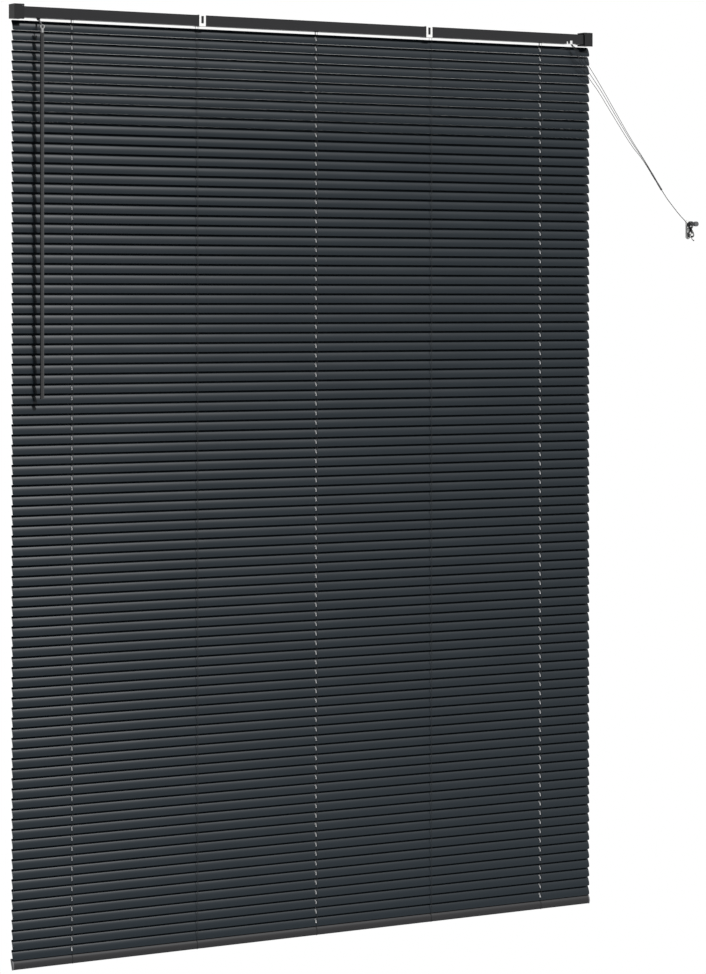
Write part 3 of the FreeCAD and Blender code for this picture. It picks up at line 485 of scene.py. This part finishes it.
# ------------------------------------------------------------------------------- slats
@dataclass
class Slats:
    """The 93 slats: the 23 top ones turn with their own bodies, and the rest are one pack.

    Args:
        half_length: from the blind's middle to a slat's end.
        chord: a slat's width, straight across.
        crown: how far its middle stands above its edges.
        thickness: the sheet's.
        corner: radius of a slat's corners.
        corner_steps: where a corner has points, as shares of its radius.
        pitch: from one slat to the next below.
        first_z: height of the top slat's middle.
        middle_y: where the slats' middles hang.
        tilt: how far the closed slats are turned.
        slot_length: a lift cord's slot, across the slat.
        slot_width: the same, along the slat.
        slot_stations: where the lift cords pass.
        plain_stations: where a slat has points besides its ends and slots.
        slot_columns: points across a slot.
        edge_columns: points from a slot's end to the slat's edge.
        count: all the slats.
        single: how many at the top are single.
        lift: how far the bottom rail rises; not used.
    """

    half_length: float = 0.801
    chord: float = 0.025
    crown: float = 0.002
    thickness: float = 0.00025
    corner: float = 0.004
    corner_steps: tuple[float, ...] = (0.0, 0.05, 0.18, 0.4, 0.67, 1.0)
    pitch: float = 0.0231
    first_z: float = -0.030
    middle_y: float = -0.016
    tilt: float = math.radians(70)
    slot_length: float = 0.011
    slot_width: float = 0.0028
    slot_stations: tuple[float, ...] = (-0.651, 0.0, 0.651)
    plain_stations: tuple[float, ...] = (-0.6, -0.2, 0.2, 0.6)
    slot_columns: int = 7
    edge_columns: int = 4
    count: int = 93
    single: int = 23
    lift: float = 1.45

    @property
    def split_z(self) -> float:
        """Height halfway between the last single slat and the first of the pack below."""
        return self.first_z - self.pitch * (self.single - 0.5)

    def fold(self, piece: bpy.types.Object) -> None:
        """Give a piece its own copy of its mesh."""
        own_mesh(piece)

    def place(self, u: np.ndarray, w: np.ndarray, number: int) -> tuple[np.ndarray, np.ndarray]:
        """Turn a slat's points about its pivot by the closed tilt.

        Args:
            u: places across the chord.
            w: places above it.
            number: which slat, counted from the top.

        Returns:
            y and z of every point.
        """
        pivot_z = self.first_z - self.pitch * (number - 1)
        y = self.middle_y + u * math.cos(self.tilt) - w * math.sin(self.tilt)
        z = pivot_z + u * math.sin(self.tilt) + w * math.cos(self.tilt)
        return y, z

    def sheet(self) -> tuple[np.ndarray, np.ndarray, np.ndarray, np.ndarray]:
        """One slat, level, with its slots.

        The crown is an arc: height = root(R squared - u squared) - R + half the crown. Near an end
        the chord shrinks as the corner's circle does.

        Returns:
            x, u and w of every vertex, and the quads.
        """
        half = self.chord / 2
        corner = self.corner
        inset = corner * np.array(self.corner_steps)
        ends = half - corner + np.sqrt(np.maximum(corner ** 2 - (corner - inset) ** 2, 0))
        slots = np.array([[s - self.slot_width / 2, s + self.slot_width / 2]
                          for s in self.slot_stations])
        plain = np.array(self.plain_stations)
        xs = np.concatenate([inset - self.half_length, slots.ravel(), self.half_length - inset,
                             plain])
        reach = np.concatenate([ends, np.full(slots.size, half), ends, np.full(plain.size, half)])
        order = np.argsort(xs)
        xs, reach = xs[order], reach[order]
        slot_half = self.slot_length / 2
        outer = np.linspace(slot_half, half, self.edge_columns)
        inner = np.linspace(-slot_half, slot_half, self.slot_columns)[1:-1]
        us = np.concatenate([-outer[::-1], inner, outer])
        x = np.repeat(xs, len(us))
        u = (us[None, :] * reach[:, None] / half).ravel()
        radius = (half ** 2 + self.crown ** 2) / (2 * self.crown)
        w = np.sqrt(radius ** 2 - u ** 2) - radius + self.crown / 2
        middle_x = (xs[:-1] + xs[1:]) / 2
        middle_u = (us[:-1] + us[1:]) / 2
        in_slot = (np.abs(middle_x[:, None] - np.array(self.slot_stations)[None, :])
                   < self.slot_width / 2).any(axis=1)
        solid = ~(in_slot[:, None] & (np.abs(middle_u)[None, :] < slot_half))
        return self.close(x, u, w, solid)

    def close(self, x: np.ndarray, u: np.ndarray, w: np.ndarray, solid: np.ndarray
              ) -> tuple[np.ndarray, np.ndarray, np.ndarray, np.ndarray]:
        """Give a sheet its thickness, and a rim wherever metal meets a cell without metal.

        Args:
            x: places along the slat, of a grid's vertices row by row.
            u: places across it.
            w: places above it.
            solid: which cells of the grid are metal.

        Returns:
            x, u and w of the upper and the lower vertices, and the quads.
        """
        rows, columns = solid.shape[0] + 1, solid.shape[1] + 1
        count = rows * columns
        top = grid_faces(rows, columns)[solid.ravel()]
        bottom = top[:, ::-1] + count
        padded = np.pad(solid, 1)
        rims = []
        here = np.arange(count).reshape(rows, columns)
        sides = [(padded[:-2, 1:-1], here[:-1, 1:], here[:-1, :-1]),
                 (padded[2:, 1:-1], here[1:, :-1], here[1:, 1:]),
                 (padded[1:-1, :-2], here[:-1, :-1], here[1:, :-1]),
                 (padded[1:-1, 2:], here[1:, 1:], here[:-1, 1:])]
        for neighbour, first, second in sides:
            open_side = solid & ~neighbour
            a, b = first[open_side], second[open_side]
            rims.append(np.stack([a, b, b + count, a + count], axis=1))
        faces = np.concatenate([top, bottom] + rims)
        return np.tile(x, 2), np.tile(u, 2), np.concatenate([w, w - self.thickness]), faces

    def build(self) -> list[bpy.types.Object]:
        """Make the single slats and the pack of the others.

        Returns:
            The pieces, top slat first.
        """
        x, u, w, faces = self.sheet()
        pieces = []
        for number in range(1, self.single + 1):
            y, z = self.place(u, w, number)
            vertices = np.stack([x, y, z], axis=1)
            piece = new_piece(f"slat_{number:02d}_sheet", vertices, faces, SLAT_PAINT)
            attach(piece, f"slat_{number:02d}_body")
            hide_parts(f"slat_{number:02d}")
            pieces.append(piece)
        parts = []
        for number in range(self.single + 1, self.count + 1):
            y, z = self.place(u, w, number)
            parts.append((np.stack([x, y, z], axis=1), faces))
        vertices, faces = joined(parts)
        pack = new_piece("lower_slats_sheets", vertices, faces, SLAT_PAINT)
        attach(pack, "blind")
        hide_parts("lower_slats")
        self.fold(pack)
        pieces.append(pack)
        return pieces


# ------------------------------------------------------------------------------- ladders and cords
@dataclass
class Ladders:
    """Two strings at each station, a rung under each slat, and the lift cords through the slots.

    Args:
        slats: the slats that they carry.
        stations: where the ladders hang.
        offset: how far to the right of a station its strings are.
        string_radius: a string's.
        rung_radius: a rung's.
        front: the front strings, from the slats' middle.
        back: the back strings, from the slats' middle.
        rung_below: where a rung runs, above the slat's middle.
        top_z: where the strings leave the headrail.
        front_foot: how far above the bottom rail's lowest point the front strings end.
        back_foot: the same for the back strings.
        top_rung_front: where the top slat's rung ends in front, across the chord.
        cord_radius: a lift cord's.
        tail_across: the front string's end over the bottom rail, across the rail.
        tail_above: the same points, above the rail's middle.
    """

    slats: Slats
    stations: tuple[float, ...] = (-0.651, -0.3255, 0.0, 0.3255, 0.651)
    offset: float = 0.0018
    string_radius: float = 0.00042
    rung_radius: float = 0.0003
    front: float = -0.0061
    back: float = 0.0061
    rung_below: float = -0.0022
    top_z: float = -0.006
    front_foot: float = 0.021
    back_foot: float = 0.0215
    top_rung_front: float = -0.0155
    cord_radius: float = 0.0007
    tail_across: tuple[float, ...] = (0.0065, 0.002, -0.004, -0.009, -0.0125, -0.0137, -0.0128,
                                      -0.0095, -0.004)
    tail_above: tuple[float, ...] = (0.0066, 0.0048, 0.0042, 0.0025, 0.0002, -0.0021, -0.0041,
                                     -0.0046, -0.0046)

    def rung(self, x: float, number: int) -> np.ndarray:
        """Ends of the rung under a slat, from string to string along the slat's slope.

        The top slat's rung stops short in front, so that it passes under the rail as the slat
        turns.

        Args:
            x: where the ladder's strings are.
            number: which slat, counted from the top.

        Returns:
            Two points, front end first.
        """
        ends = np.array([self.front, self.back])
        u = (ends + self.rung_below * math.sin(self.slats.tilt)) / math.cos(self.slats.tilt)
        if number == 1:
            u[0] = self.top_rung_front
        y, z = self.slats.place(u, np.full(2, self.rung_below), number)
        return np.stack([np.full(2, x), y, z], axis=1)

    def string(self, x: float, y: float, top: float, bottom: float) -> np.ndarray:
        """A straight string with a point for every slat it passes.

        Args:
            x: where it hangs, along the blind.
            y: where it hangs, out from the wall.
            top: height of its upper end.
            bottom: height of its lower end.

        Returns:
            n by 3 points, from the top.
        """
        steps = max(3, int(round((top - bottom) / self.slats.pitch)) + 1)
        z = np.linspace(top, bottom, steps)
        return np.stack([np.full(steps, x), np.full(steps, y), z], axis=1)

    def tail(self, x: float) -> np.ndarray:
        """The front string's end: down the bottom rail's crown and round under it to its plug.

        Args:
            x: where the ladder's strings are.

        Returns:
            n by 3 points, from the top.
        """
        y, z = BottomRail().place(np.array(self.tail_across), np.array(self.tail_above))
        return np.stack([np.full(len(y), x), y, z], axis=1)

    def build(self) -> list[bpy.types.Object]:
        """Make upper and lower strings, the rungs of each slat, and the lower lift cords.

        Returns:
            The pieces in the order they are made.
        """
        slats = self.slats
        middle = slats.middle_y
        split = slats.split_z
        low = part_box("bottom_rail")[0][2]
        pieces = []
        upper, lower = [], []
        for station in self.stations:
            x = station + self.offset
            for side, foot in ((self.front, self.front_foot), (self.back, self.back_foot)):
                upper.append(self.thin(self.string(x, middle + side, self.top_z, split)))
                lower.append(self.thin(self.string(x, middle + side, split, low + foot)))
            lower.append(self.thin(self.tail(x)))
            for number in range(slats.single + 1, slats.count):
                lower.append(swept(self.rung(x, number), self.rung_radius, THIN_SIDES))
        pieces.append(self.tubes("ladder_strings_upper", upper, "ladders_upper"))
        pieces.append(self.tubes("ladders_lower_strings", lower, "ladders_lower"))
        slats.fold(pieces[-1])
        for number in range(1, slats.single + 1):
            rungs = [swept(self.rung(station + self.offset, number), self.rung_radius, THIN_SIDES)
                     for station in self.stations]
            body = f"slat_{number:02d}_body"
            pieces.append(self.tubes(f"ladder_rungs_{number:02d}", rungs, None, body))
        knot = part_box("lift_knots")[1][2]
        cords = [swept(self.string(x, middle, split, knot), self.cord_radius, CORD_SIDES)
                 for x in slats.slot_stations]
        pieces.append(self.tubes("lift_cords_below", cords, "lift_cords_lower"))
        slats.fold(pieces[-1])
        return pieces

    def thin(self, line: np.ndarray) -> Tube:
        """A string's tube along a line."""
        return swept(line, self.string_radius, THIN_SIDES)

    def tubes(self, name: str, parts: list[Tube], node: str | None, body: str = "blind"
              ) -> bpy.types.Object:
        """Several tubes as one piece.

        Args:
            name: the piece's name.
            parts: the tubes.
            node: the node that the piece stands for, if it stands for one.
            body: the body that it rides on.

        Returns:
            The piece.
        """
        vertices, faces = joined([(part[0], part[1]) for part in parts])
        uv = np.concatenate([part[2] for part in parts])
        piece = new_piece(name, vertices, faces, STRING_BRAID, uv=uv)
        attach(piece, body)
        if node:
            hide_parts(node)
        return piece


# ------------------------------------------------------------------------------- bottom rail
@dataclass
class BottomRail:
    """The closed D-shaped tube of the bottom rail.

    Args:
        half_length: from the blind's middle to the tube's end.
        width: straight across.
        height: from the flat to the crown's top.
        shoulder: where the crown meets the flat's rounds, above the middle.
        corner: radius of the lower corners.
        tilt: how far the closed slats turn it.
        arc_points: points across the crown, and across the flat.
        sections: how often the outline stands along the tube.
    """

    half_length: float = 0.798
    width: float = 0.026
    height: float = 0.008
    shoulder: float = -0.0018
    corner: float = 0.0019
    tilt: float = math.radians(70)
    arc_points: int = 23
    sections: int = 9

    def place(self, u: np.ndarray, w: np.ndarray) -> tuple[np.ndarray, np.ndarray]:
        """Turn points about the rail's middle to where the closed blind holds it.

        Args:
            u: places across the rail.
            w: places above its middle.

        Returns:
            y and z of every point.
        """
        low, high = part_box("lift_knots")
        middle_y, middle_z = (low[1] + high[1]) / 2, (low[2] + high[2]) / 2
        y = middle_y + u * math.cos(self.tilt) - w * math.sin(self.tilt)
        z = middle_z + u * math.sin(self.tilt) + w * math.cos(self.tilt)
        return y, z

    def section(self) -> np.ndarray:
        """Outline of the D: an arc for the crown, a flat below it and a round at each lower corner.

        Returns:
            n by 2 points, across and above.
        """
        half = self.width / 2
        rise = self.height / 2 - self.shoulder
        radius = (half ** 2 + rise ** 2) / (2 * rise)
        u = half * np.sin(np.linspace(-math.pi / 2, math.pi / 2, self.arc_points))
        crown = np.sqrt(radius ** 2 - u ** 2) - radius + self.height / 2
        past = np.maximum(np.abs(u) - (half - self.corner), 0) / self.corner
        flat = -self.height / 2 + self.corner * (1 - np.sqrt(np.maximum(1 - past ** 2, 0)))
        return np.concatenate([np.stack([u, crown], 1), np.stack([u, flat], 1)[::-1]])

    def build(self) -> list[bpy.types.Object]:
        """Make the rail's tube.

        Returns:
            The tube, as the only piece.
        """
        outline = self.section()
        y, z = self.place(outline[:, 0], outline[:, 1])
        stations = np.linspace(-self.half_length, self.half_length, self.sections)
        vertices, faces = extruded(np.stack([y, z], 1), stations)
        rail = new_piece("bottom_rail_tube", vertices, faces, RAIL_PAINT)
        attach(rail, "bottom")
        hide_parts("bottom_rail")
        return [rail]


# ------------------------------------------------------------------------------- free cords
ROUTE_ORDER = 3
ROUTE_STEPS = 8


def route_line(points: Points, name: str) -> np.ndarray:
    """Points along a NURBS spline that has the route's points as its control points.

    Args:
        points: the route.
        name: what the passing curve is called.

    Returns:
        n by 3 points from end to end.
    """
    curve = bpy.data.curves.new(name, "CURVE")
    curve.dimensions = "3D"
    spline = curve.splines.new("NURBS")
    spline.points.add(len(points) - 1)
    spline.points.foreach_set("co", np.pad(np.array(points, float), ((0, 0), (0, 1)),
                                           constant_values=1).ravel())
    spline.order_u = ROUTE_ORDER
    spline.use_endpoint_u = True
    curve.resolution_u = ROUTE_STEPS
    holder = bpy.data.objects.new(name, curve)
    mesh = bpy.data.meshes.new_from_object(holder)
    line = np.empty(len(mesh.vertices) * 3)
    mesh.vertices.foreach_get("co", line)
    bpy.data.objects.remove(holder)
    bpy.data.meshes.remove(mesh)
    bpy.data.curves.remove(curve)
    return line.reshape(-1, 3)


def cord_tube(name: str, line: np.ndarray, radius: float) -> bpy.types.Object:
    """A braided cord along a line.

    Args:
        name: the piece's name.
        line: n by 3 points.
        radius: the cord's.

    Returns:
        The piece.
    """
    vertices, faces, uv = swept(line, radius, BRAID_SIDES)
    piece = new_piece(name, vertices, faces, CORD_BRAID, uv=uv)
    return piece


@dataclass
class PullCords:
    """Three cords from the lock to the joiner, and one from the joiner to the cleat.

    Places that at() takes are in millimetres from the cords' way out of the rail.

    Args:
        radius: a pull cord's.
        main_radius: the single cord's.
        exit_x: the way out, along the rail.
        exit_z: its height.
        middle_y: the rail's middle line.
        joiner_top: the joiner's upper end, as at() takes it.
        joiner_line: a place on the joiner's axis further down.
        joiner_length: in metres.
        spread: how far apart the cords enter the joiner.
        lead: how far above the joiner the cords turn into its line.
        barrel: the joiner's radius and the distance from its upper end, in millimetres.
        peg: x and z of the cleat's upper peg.
        post: x and z of its lower post.
        winding_back: y of the first turn.
        first_turn: the angle at which the winding starts.
        turns: how many times it goes round.
        turn_pitch: how much further from the wall each turn stands.
        turn_points: points along the winding.
        loop_clearance: how far the loops reach past the peg's and the post's middles.
        loop_waver: how much that changes along the winding.
        loop_rhythm: how often it does, against the winding's own angle.
        loop_width: how far the loops reach to each side.
        width_waver: how much that changes along the winding.
        width_rhythm: how often it does, against the winding's own angle.
        main_lead: how far past the joiner the single cord keeps its line.
        main_way: where it hangs between the joiner and the cleat, as at() takes it.
        winding_lead: how far before the winding it takes up the winding's heading.
        tail: the tail's points from the winding's end.
        knot_ring: radius of the knot's ring.
        knot_waver: how much the strand swings in and out of it.
        knot_depth: how much it swings along the cord.
        knot_share: the strand's radius in the knot, as a share of the cord's.
        knot_points: points along the knot.
        routes: the three pull cords' ways from the lock, as at() takes them.
    """

    radius: float = 0.0007
    main_radius: float = 0.0009
    exit_x: float = 0.7447
    exit_z: float = -0.0125
    middle_y: float = -0.016
    joiner_top: tuple[float, float, float] = (252.8, 0.0, -320.3)
    joiner_line: tuple[float, float, float] = (285.3, 0.0, -363.9)
    joiner_length: float = 0.054
    spread: float = 0.0016
    lead: float = 0.045
    barrel: tuple[tuple[float, float], ...] = (
        (0.01, 0), (1.9, 0), (2.3, 0.3), (2.5, 1.0), (2.5, 6), (2.3, 7), (2.3, 20), (2.1, 21.5),
        (2.1, 32), (2.3, 33.5), (2.3, 47), (2.5, 48), (2.5, 53), (2.3, 53.7), (1.9, 54), (0.01, 54))
    peg: tuple[float, float] = (1.124, -0.46255)
    post: tuple[float, float] = (1.124, -0.49005)
    winding_back: float = -0.0088
    first_turn: float = math.radians(296)
    turns: float = 3.322
    turn_pitch: float = 0.0031
    turn_points: int = 84
    loop_clearance: float = 0.0064
    loop_waver: float = 0.0003
    loop_rhythm: float = 2.1
    loop_width: float = 0.0068
    width_waver: float = 0.0005
    width_rhythm: float = 0.5
    main_lead: float = 0.022
    main_way: Points = ((318.0, 1.2, -401.5), (346.0, 3.2, -428.5))
    winding_lead: float = 0.012
    tail: Points = ((-0.0010, -0.0004, -0.0036), (0.0008, -0.0008, -0.0068),
                    (0.0046, -0.0006, -0.0082))
    knot_ring: float = 0.00085
    knot_waver: float = 0.00045
    knot_depth: float = 0.0006
    knot_share: float = 0.75
    knot_points: int = 49
    routes: dict[int, Points] = field(default_factory=lambda: {
        1: [(0.0, -8.5, 0.0), (0.0, -8.5, -3.2), (5.3, -15.2, -9.1), (19.3, -16.0, -23.5),
            (46.3, -15.4, -54.5), (71.5, -12.5, -84.5), (96.0, -8.6, -114.1),
            (133.5, -6.6, -165.0), (170.3, -5.0, -215.9), (198.0, -3.0, -250.5)],
        2: [(0.0, -6.0, 0.0), (0.0, -6.0, -3.2), (3.9, -15.3, -10.9), (15.0, -16.0, -28.5),
            (29.0, -16.1, -49.0), (46.3, -15.6, -70.5), (87.7, -9.4, -114.1),
            (126.5, -6.8, -165.0), (165.7, -5.0, -215.9), (196.0, -2.6, -252.5)],
        3: [(0.0, -3.5, 0.0), (0.0, -3.5, -3.2), (2.5, -15.4, -12.5), (13.0, -16.2, -34.5),
            (28.0, -16.3, -60.0), (46.3, -15.8, -85.5), (78.7, -10.0, -115.5),
            (117.5, -7.0, -165.0), (157.9, -5.0, -215.9), (192.0, -2.3, -256.5)]})

    def at(self, x: float, y: float, z: float) -> np.ndarray:
        """A place given in millimetres from the cords' way out of the rail."""
        return np.array([self.exit_x + x / MM, self.middle_y + y / MM, self.exit_z + z / MM])

    def build(self) -> list[bpy.types.Object]:
        """Make the joiner, the three pull cords, the main cord and its winding.

        Returns:
            The pieces, the joiner first.
        """
        top, end = self.at(*self.joiner_top), self.at(*self.joiner_line)
        way = (end - top) / np.linalg.norm(end - top)
        side = np.array([-way[2], 0, way[0]])
        foot = top + way * self.joiner_length
        joiner = self.joiner(top, way)
        pieces = [joiner]
        for place, route in self.routes.items():
            last = top + side * (self.spread * (2 - place))
            points = [tuple(self.at(*p)) for p in route]
            points += [tuple(last - way * self.lead), tuple(last)]
            line = route_line(points, f"route_{place}")
            piece = cord_tube(f"pull_cord_{place}_braid", line, self.radius)
            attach(piece, "blind")
            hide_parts(f"pull_cord_{place}")
            pieces.append(piece)
        return pieces + self.main_cord(foot, way)

    def joiner(self, top: np.ndarray, way: np.ndarray) -> bpy.types.Object:
        """The slim turned joiner: a barrel with rounded ends and a shallow waist.

        Args:
            top: its upper end.
            way: the direction down its axis.

        Returns:
            The piece.
        """
        vertices, faces = turned(np.array(self.barrel) / MM, Vector(top), Vector(way))
        piece = new_piece("cord_joiner_barrel", vertices, faces, BLACK_PLASTIC)
        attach(piece, "blind")
        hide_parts("cord_joiner")
        return piece

    def figure_of_eight(self) -> np.ndarray:
        """Turns round the peg and the post: across is a sine of twice the angle, height its cosine.

        The cord starts between the upper loop's left side and the crossing. Each turn stands a
        little further from the wall than the one before, and its loops differ a little in size.

        Returns:
            n by 3 points.
        """
        turn = np.linspace(0, self.turns, self.turn_points)
        angle = self.first_turn - 2 * math.pi * turn
        middle_z = (self.peg[1] + self.post[1]) / 2
        apart = (self.peg[1] - self.post[1]) / 2
        waver = self.loop_waver * np.cos(self.loop_rhythm * angle)
        reach = apart + self.loop_clearance + waver
        across = self.loop_width + self.width_waver * np.cos(self.width_rhythm * angle)
        x = self.peg[0] + across * np.sin(2 * angle)
        z = middle_z + reach * np.cos(angle)
        y = self.winding_back - self.turn_pitch * turn
        return np.stack([x, y, z], 1)

    def main_cord(self, start: np.ndarray, way: np.ndarray) -> list[bpy.types.Object]:
        """The single cord: from the joiner, wound on the cleat, to its short knotted tail.

        Args:
            start: the joiner's lower end.
            way: the direction down the joiner's axis.

        Returns:
            The cord and its knot.
        """
        turns = self.figure_of_eight()
        heading = (turns[1] - turns[0]) / np.linalg.norm(turns[1] - turns[0])
        route = [start, start + way * self.main_lead, *(self.at(*p) for p in self.main_way),
                 turns[0] - heading * self.winding_lead, *turns, *(turns[-1] + np.array(self.tail))]
        points = [tuple(p) for p in route]
        line = route_line(points, "main_route")
        piece = cord_tube("pull_cord_main_braid", line, self.main_radius)
        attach(piece, "blind")
        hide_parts("pull_cord_main", "cleat_winding")
        knot = self.knot(line[-1], line[-1] - line[-3])
        return [piece, knot]

    def knot(self, place: np.ndarray, way: np.ndarray) -> bpy.types.Object:
        """A small overhand knot, drawn as a trefoil: a strand that swings about a ring three times.

        Args:
            place: the cord's end.
            way: the direction of the cord there.

        Returns:
            The piece.
        """
        angle = np.linspace(0, 2 * math.pi, self.knot_points)
        ring = self.knot_ring + self.knot_waver * np.cos(3 * angle)
        along = np.array(Vector(way).normalized())
        side = np.array(Vector(along).orthogonal().normalized())
        other = np.cross(along, side)
        line = (place + np.outer(ring * np.cos(2 * angle), side)
                + np.outer(ring * np.sin(2 * angle), other)
                + np.outer(self.knot_depth * np.sin(3 * angle) + self.knot_depth, along))
        vertices, faces, uv = swept(line, self.main_radius * self.knot_share, CORD_SIDES)
        piece = new_piece("pull_cord_knot", vertices, faces, CORD_BRAID, uv=uv)
        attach(piece, "blind")
        return piece


# ------------------------------------------------------------------------------- carried-over nodes
@dataclass
class Fittings:
    """The CAD pieces whose shape is right: they get their finishes and small rounds.

    Args:
        nodes: the nodes' objects by name.
        rounds: each rounded node's finish and the width of its rounds.
        plain: the finish of each node that keeps its edges.
    """

    nodes: dict[str, bpy.types.Object]
    rounds: dict[str, tuple[Finish, float]] = field(default_factory=lambda: {
        "headrail": (RAIL_PAINT, 0.0002),
        "rail_end_caps": (BLACK_PLASTIC, 0.0004),
        "end_bracket_left": (BRACKET_PAINT, 0.0004),
        "end_bracket_right": (BRACKET_PAINT, 0.0004),
        "bracket_door_left": (BRACKET_PAINT, 0.0004),
        "bracket_door_right": (BRACKET_PAINT, 0.0004),
        "centre_supports": (PALE_METAL, 0.0003),
        "drum_cradles": (PALE_PLASTIC, 0.0003),
        "tilter_housing": (BLACK_PLASTIC, 0.0004),
        "cord_lock_body": (BLACK_PLASTIC, 0.0003),
        "cord_lock_clip": (BRIGHT_METAL, 0.00025),
        "wand": (WAND_PLASTIC, 0.0006),
        "bottom_rail_caps": (BLACK_PLASTIC, 0.0005),
        "bottom_rail_plugs": (BLACK_PLASTIC, 0.0004),
        "cleat_plate": (WHITE_PLASTIC, 0.0006),
        "cleat_peg": (BLACK_PLASTIC, 0.0008)})
    plain: dict[str, Finish] = field(default_factory=lambda: {
        "door_pins": STEEL, "tilt_rod": STEEL, "ladder_drums": PALE_PLASTIC,
        "tilter_gear": PALE_PLASTIC, "tilter_worm": BLACK_PLASTIC, "wand_hook": HOOK_PLASTIC,
        "cord_lock_pulley": PALE_PLASTIC, "cord_lock_pawl": STEEL, "lift_cords_upper": STRING_BRAID,
        "lift_knots": STRING_BRAID})

    def build(self) -> None:
        """Dress every carried-over node."""
        for name, (finish, width) in self.rounds.items():
            soften(self.nodes[name], finish, width)
        for name, finish in self.plain.items():
            dress(self.nodes[name], finish)


# ------------------------------------------------------------------------------- studio
@dataclass
class Studio:
    """Floor, world, lamp and camera.

    Args:
        eye: where the camera stands.
        look: which way it looks.
        lens: its focal length in millimetres.
        sensor: the longer side of its picture plane in millimetres.
        shift_y: how far the picture is shifted up, as a share of its longer side.
        clip_end: how far the camera sees, in metres.
        floor_reach: the floor's half length, its room side, its wall side and its height.
        floor_colour: the floor's, as a scene value.
        floor_roughness: the floor's.
        ambient: strength of the world's light.
        backdrop: strength at which the world is seen behind the object and in reflections.
        key_strength: the key lamp's.
        key_azimuth: how far round to the right of the blind's front it stands.
        key_height: how far above level it stands.
        key_angle: how wide it looks, which sets how soft its shadows are.
        key_distance: where its symbol stands, in metres.
    """

    eye: tuple[float, float, float] = (-3.894, -6.738, -0.658)
    look: tuple[float, float, float] = (0.5113, 0.8594, 0.0)
    lens: float = 119.1
    sensor: float = 36.0
    shift_y: float = -0.1924
    clip_end: float = 60.0
    floor_reach: tuple[float, float, float, float] = (2.0, -1.6, 1.3, -2.75)
    floor_colour: tuple[float, float, float, float] = (0.85, 0.85, 0.85, 1.0)
    floor_roughness: float = 0.9
    ambient: float = 0.22
    backdrop: float = 1.0
    key_strength: float = 4.2
    key_azimuth: float = math.radians(21)
    key_height: float = math.radians(45)
    key_angle: float = math.radians(4)
    key_distance: float = 4.0

    def build(self) -> None:
        """Set up everything that isn't the blind."""
        self.camera()
        self.world()
        self.lamps()
        self.floor()

    def camera(self) -> None:
        """The camera looks level, from the left and below the headrail."""
        data = bpy.data.cameras.new("camera")
        data.lens = self.lens
        data.sensor_width = self.sensor
        data.shift_y = self.shift_y
        data.clip_end = self.clip_end
        camera = bpy.data.objects.new("camera", data)
        bpy.context.scene.collection.objects.link(camera)
        camera.location = self.eye
        camera.rotation_euler = Vector(self.look).to_track_quat("-Z", "Y").to_euler()
        bpy.context.scene.camera = camera

    def world(self) -> None:
        """Even light, and white where the camera, a reflection or glass sees past the object."""
        world = bpy.data.worlds.new("studio")
        world.use_nodes = True
        bpy.context.scene.world = world
        tree = world.node_tree
        path = tree.nodes.new("ShaderNodeLightPath")
        seen = tree.nodes.new("ShaderNodeMath")
        seen.operation = "MAXIMUM"
        seen_all = tree.nodes.new("ShaderNodeMath")
        seen_all.operation = "MAXIMUM"
        tree.links.new(path.outputs["Is Camera Ray"], seen.inputs[0])
        tree.links.new(path.outputs["Is Glossy Ray"], seen.inputs[1])
        tree.links.new(seen.outputs[0], seen_all.inputs[0])
        tree.links.new(path.outputs["Is Transmission Ray"], seen_all.inputs[1])
        level = tree.nodes.new("ShaderNodeMapRange")
        level.inputs["To Min"].default_value = self.ambient
        level.inputs["To Max"].default_value = self.backdrop
        tree.links.new(seen_all.outputs[0], level.inputs["Value"])
        shade = tree.nodes["Background"]
        shade.inputs["Color"].default_value = (1, 1, 1, 1)
        tree.links.new(level.outputs["Result"], shade.inputs["Strength"])

    def lamps(self) -> None:
        """One distant key lamp from the right and above, the same for every slat."""
        data = bpy.data.lights.new("key", "SUN")
        data.energy = self.key_strength
        data.angle = self.key_angle
        lamp = bpy.data.objects.new("key", data)
        bpy.context.scene.collection.objects.link(lamp)
        level = math.cos(self.key_height)
        source = Vector((level * math.sin(self.key_azimuth), -level * math.cos(self.key_azimuth),
                         math.sin(self.key_height)))
        lamp.location = source * self.key_distance
        lamp.rotation_euler = (-source).to_track_quat("-Z", "Y").to_euler()

    def floor(self) -> None:
        """A pale floor some way below the blind."""
        mesh = bpy.data.meshes.new("floor")
        x, near, far, z = self.floor_reach
        corners = [(-x, near, z), (x, near, z), (x, far, z), (-x, far, z)]
        mesh.from_pydata(corners, [], [(0, 1, 2, 3)])
        floor = bpy.data.objects.new("floor", mesh)
        bpy.context.scene.collection.objects.link(floor)
        paint = bpy.data.materials.new("floor")
        paint.use_nodes = True
        shader = paint.node_tree.nodes["Principled BSDF"]
        shader.inputs["Base Color"].default_value = self.floor_colour
        shader.inputs["Roughness"].default_value = self.floor_roughness
        mesh.materials.append(paint)


def main() -> None:
    """Load the frame, build each group in order and report it."""
    logging.basicConfig(level=logging.INFO, format="%(name)s: %(message)s")
    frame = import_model()
    Studio().build()
    lift = next(joint for joint in frame["joints"] if joint["name"] == "lift")
    slats = Slats(lift=lift["range_m"][1])
    groups = {"pull cords": PullCords().build(), "slats": slats.build()}
    groups["ladders"] = Ladders(slats).build()
    groups["bottom rail"] = BottomRail().build()
    Fittings(frame["nodes"]).build()
    for group, pieces in groups.items():
        for piece in pieces:
            LOG.info("%s: %s", group, piece.name)
    bpy.context.scene.view_settings.view_transform = "Standard"


if __name__ == "__main__":
    main()
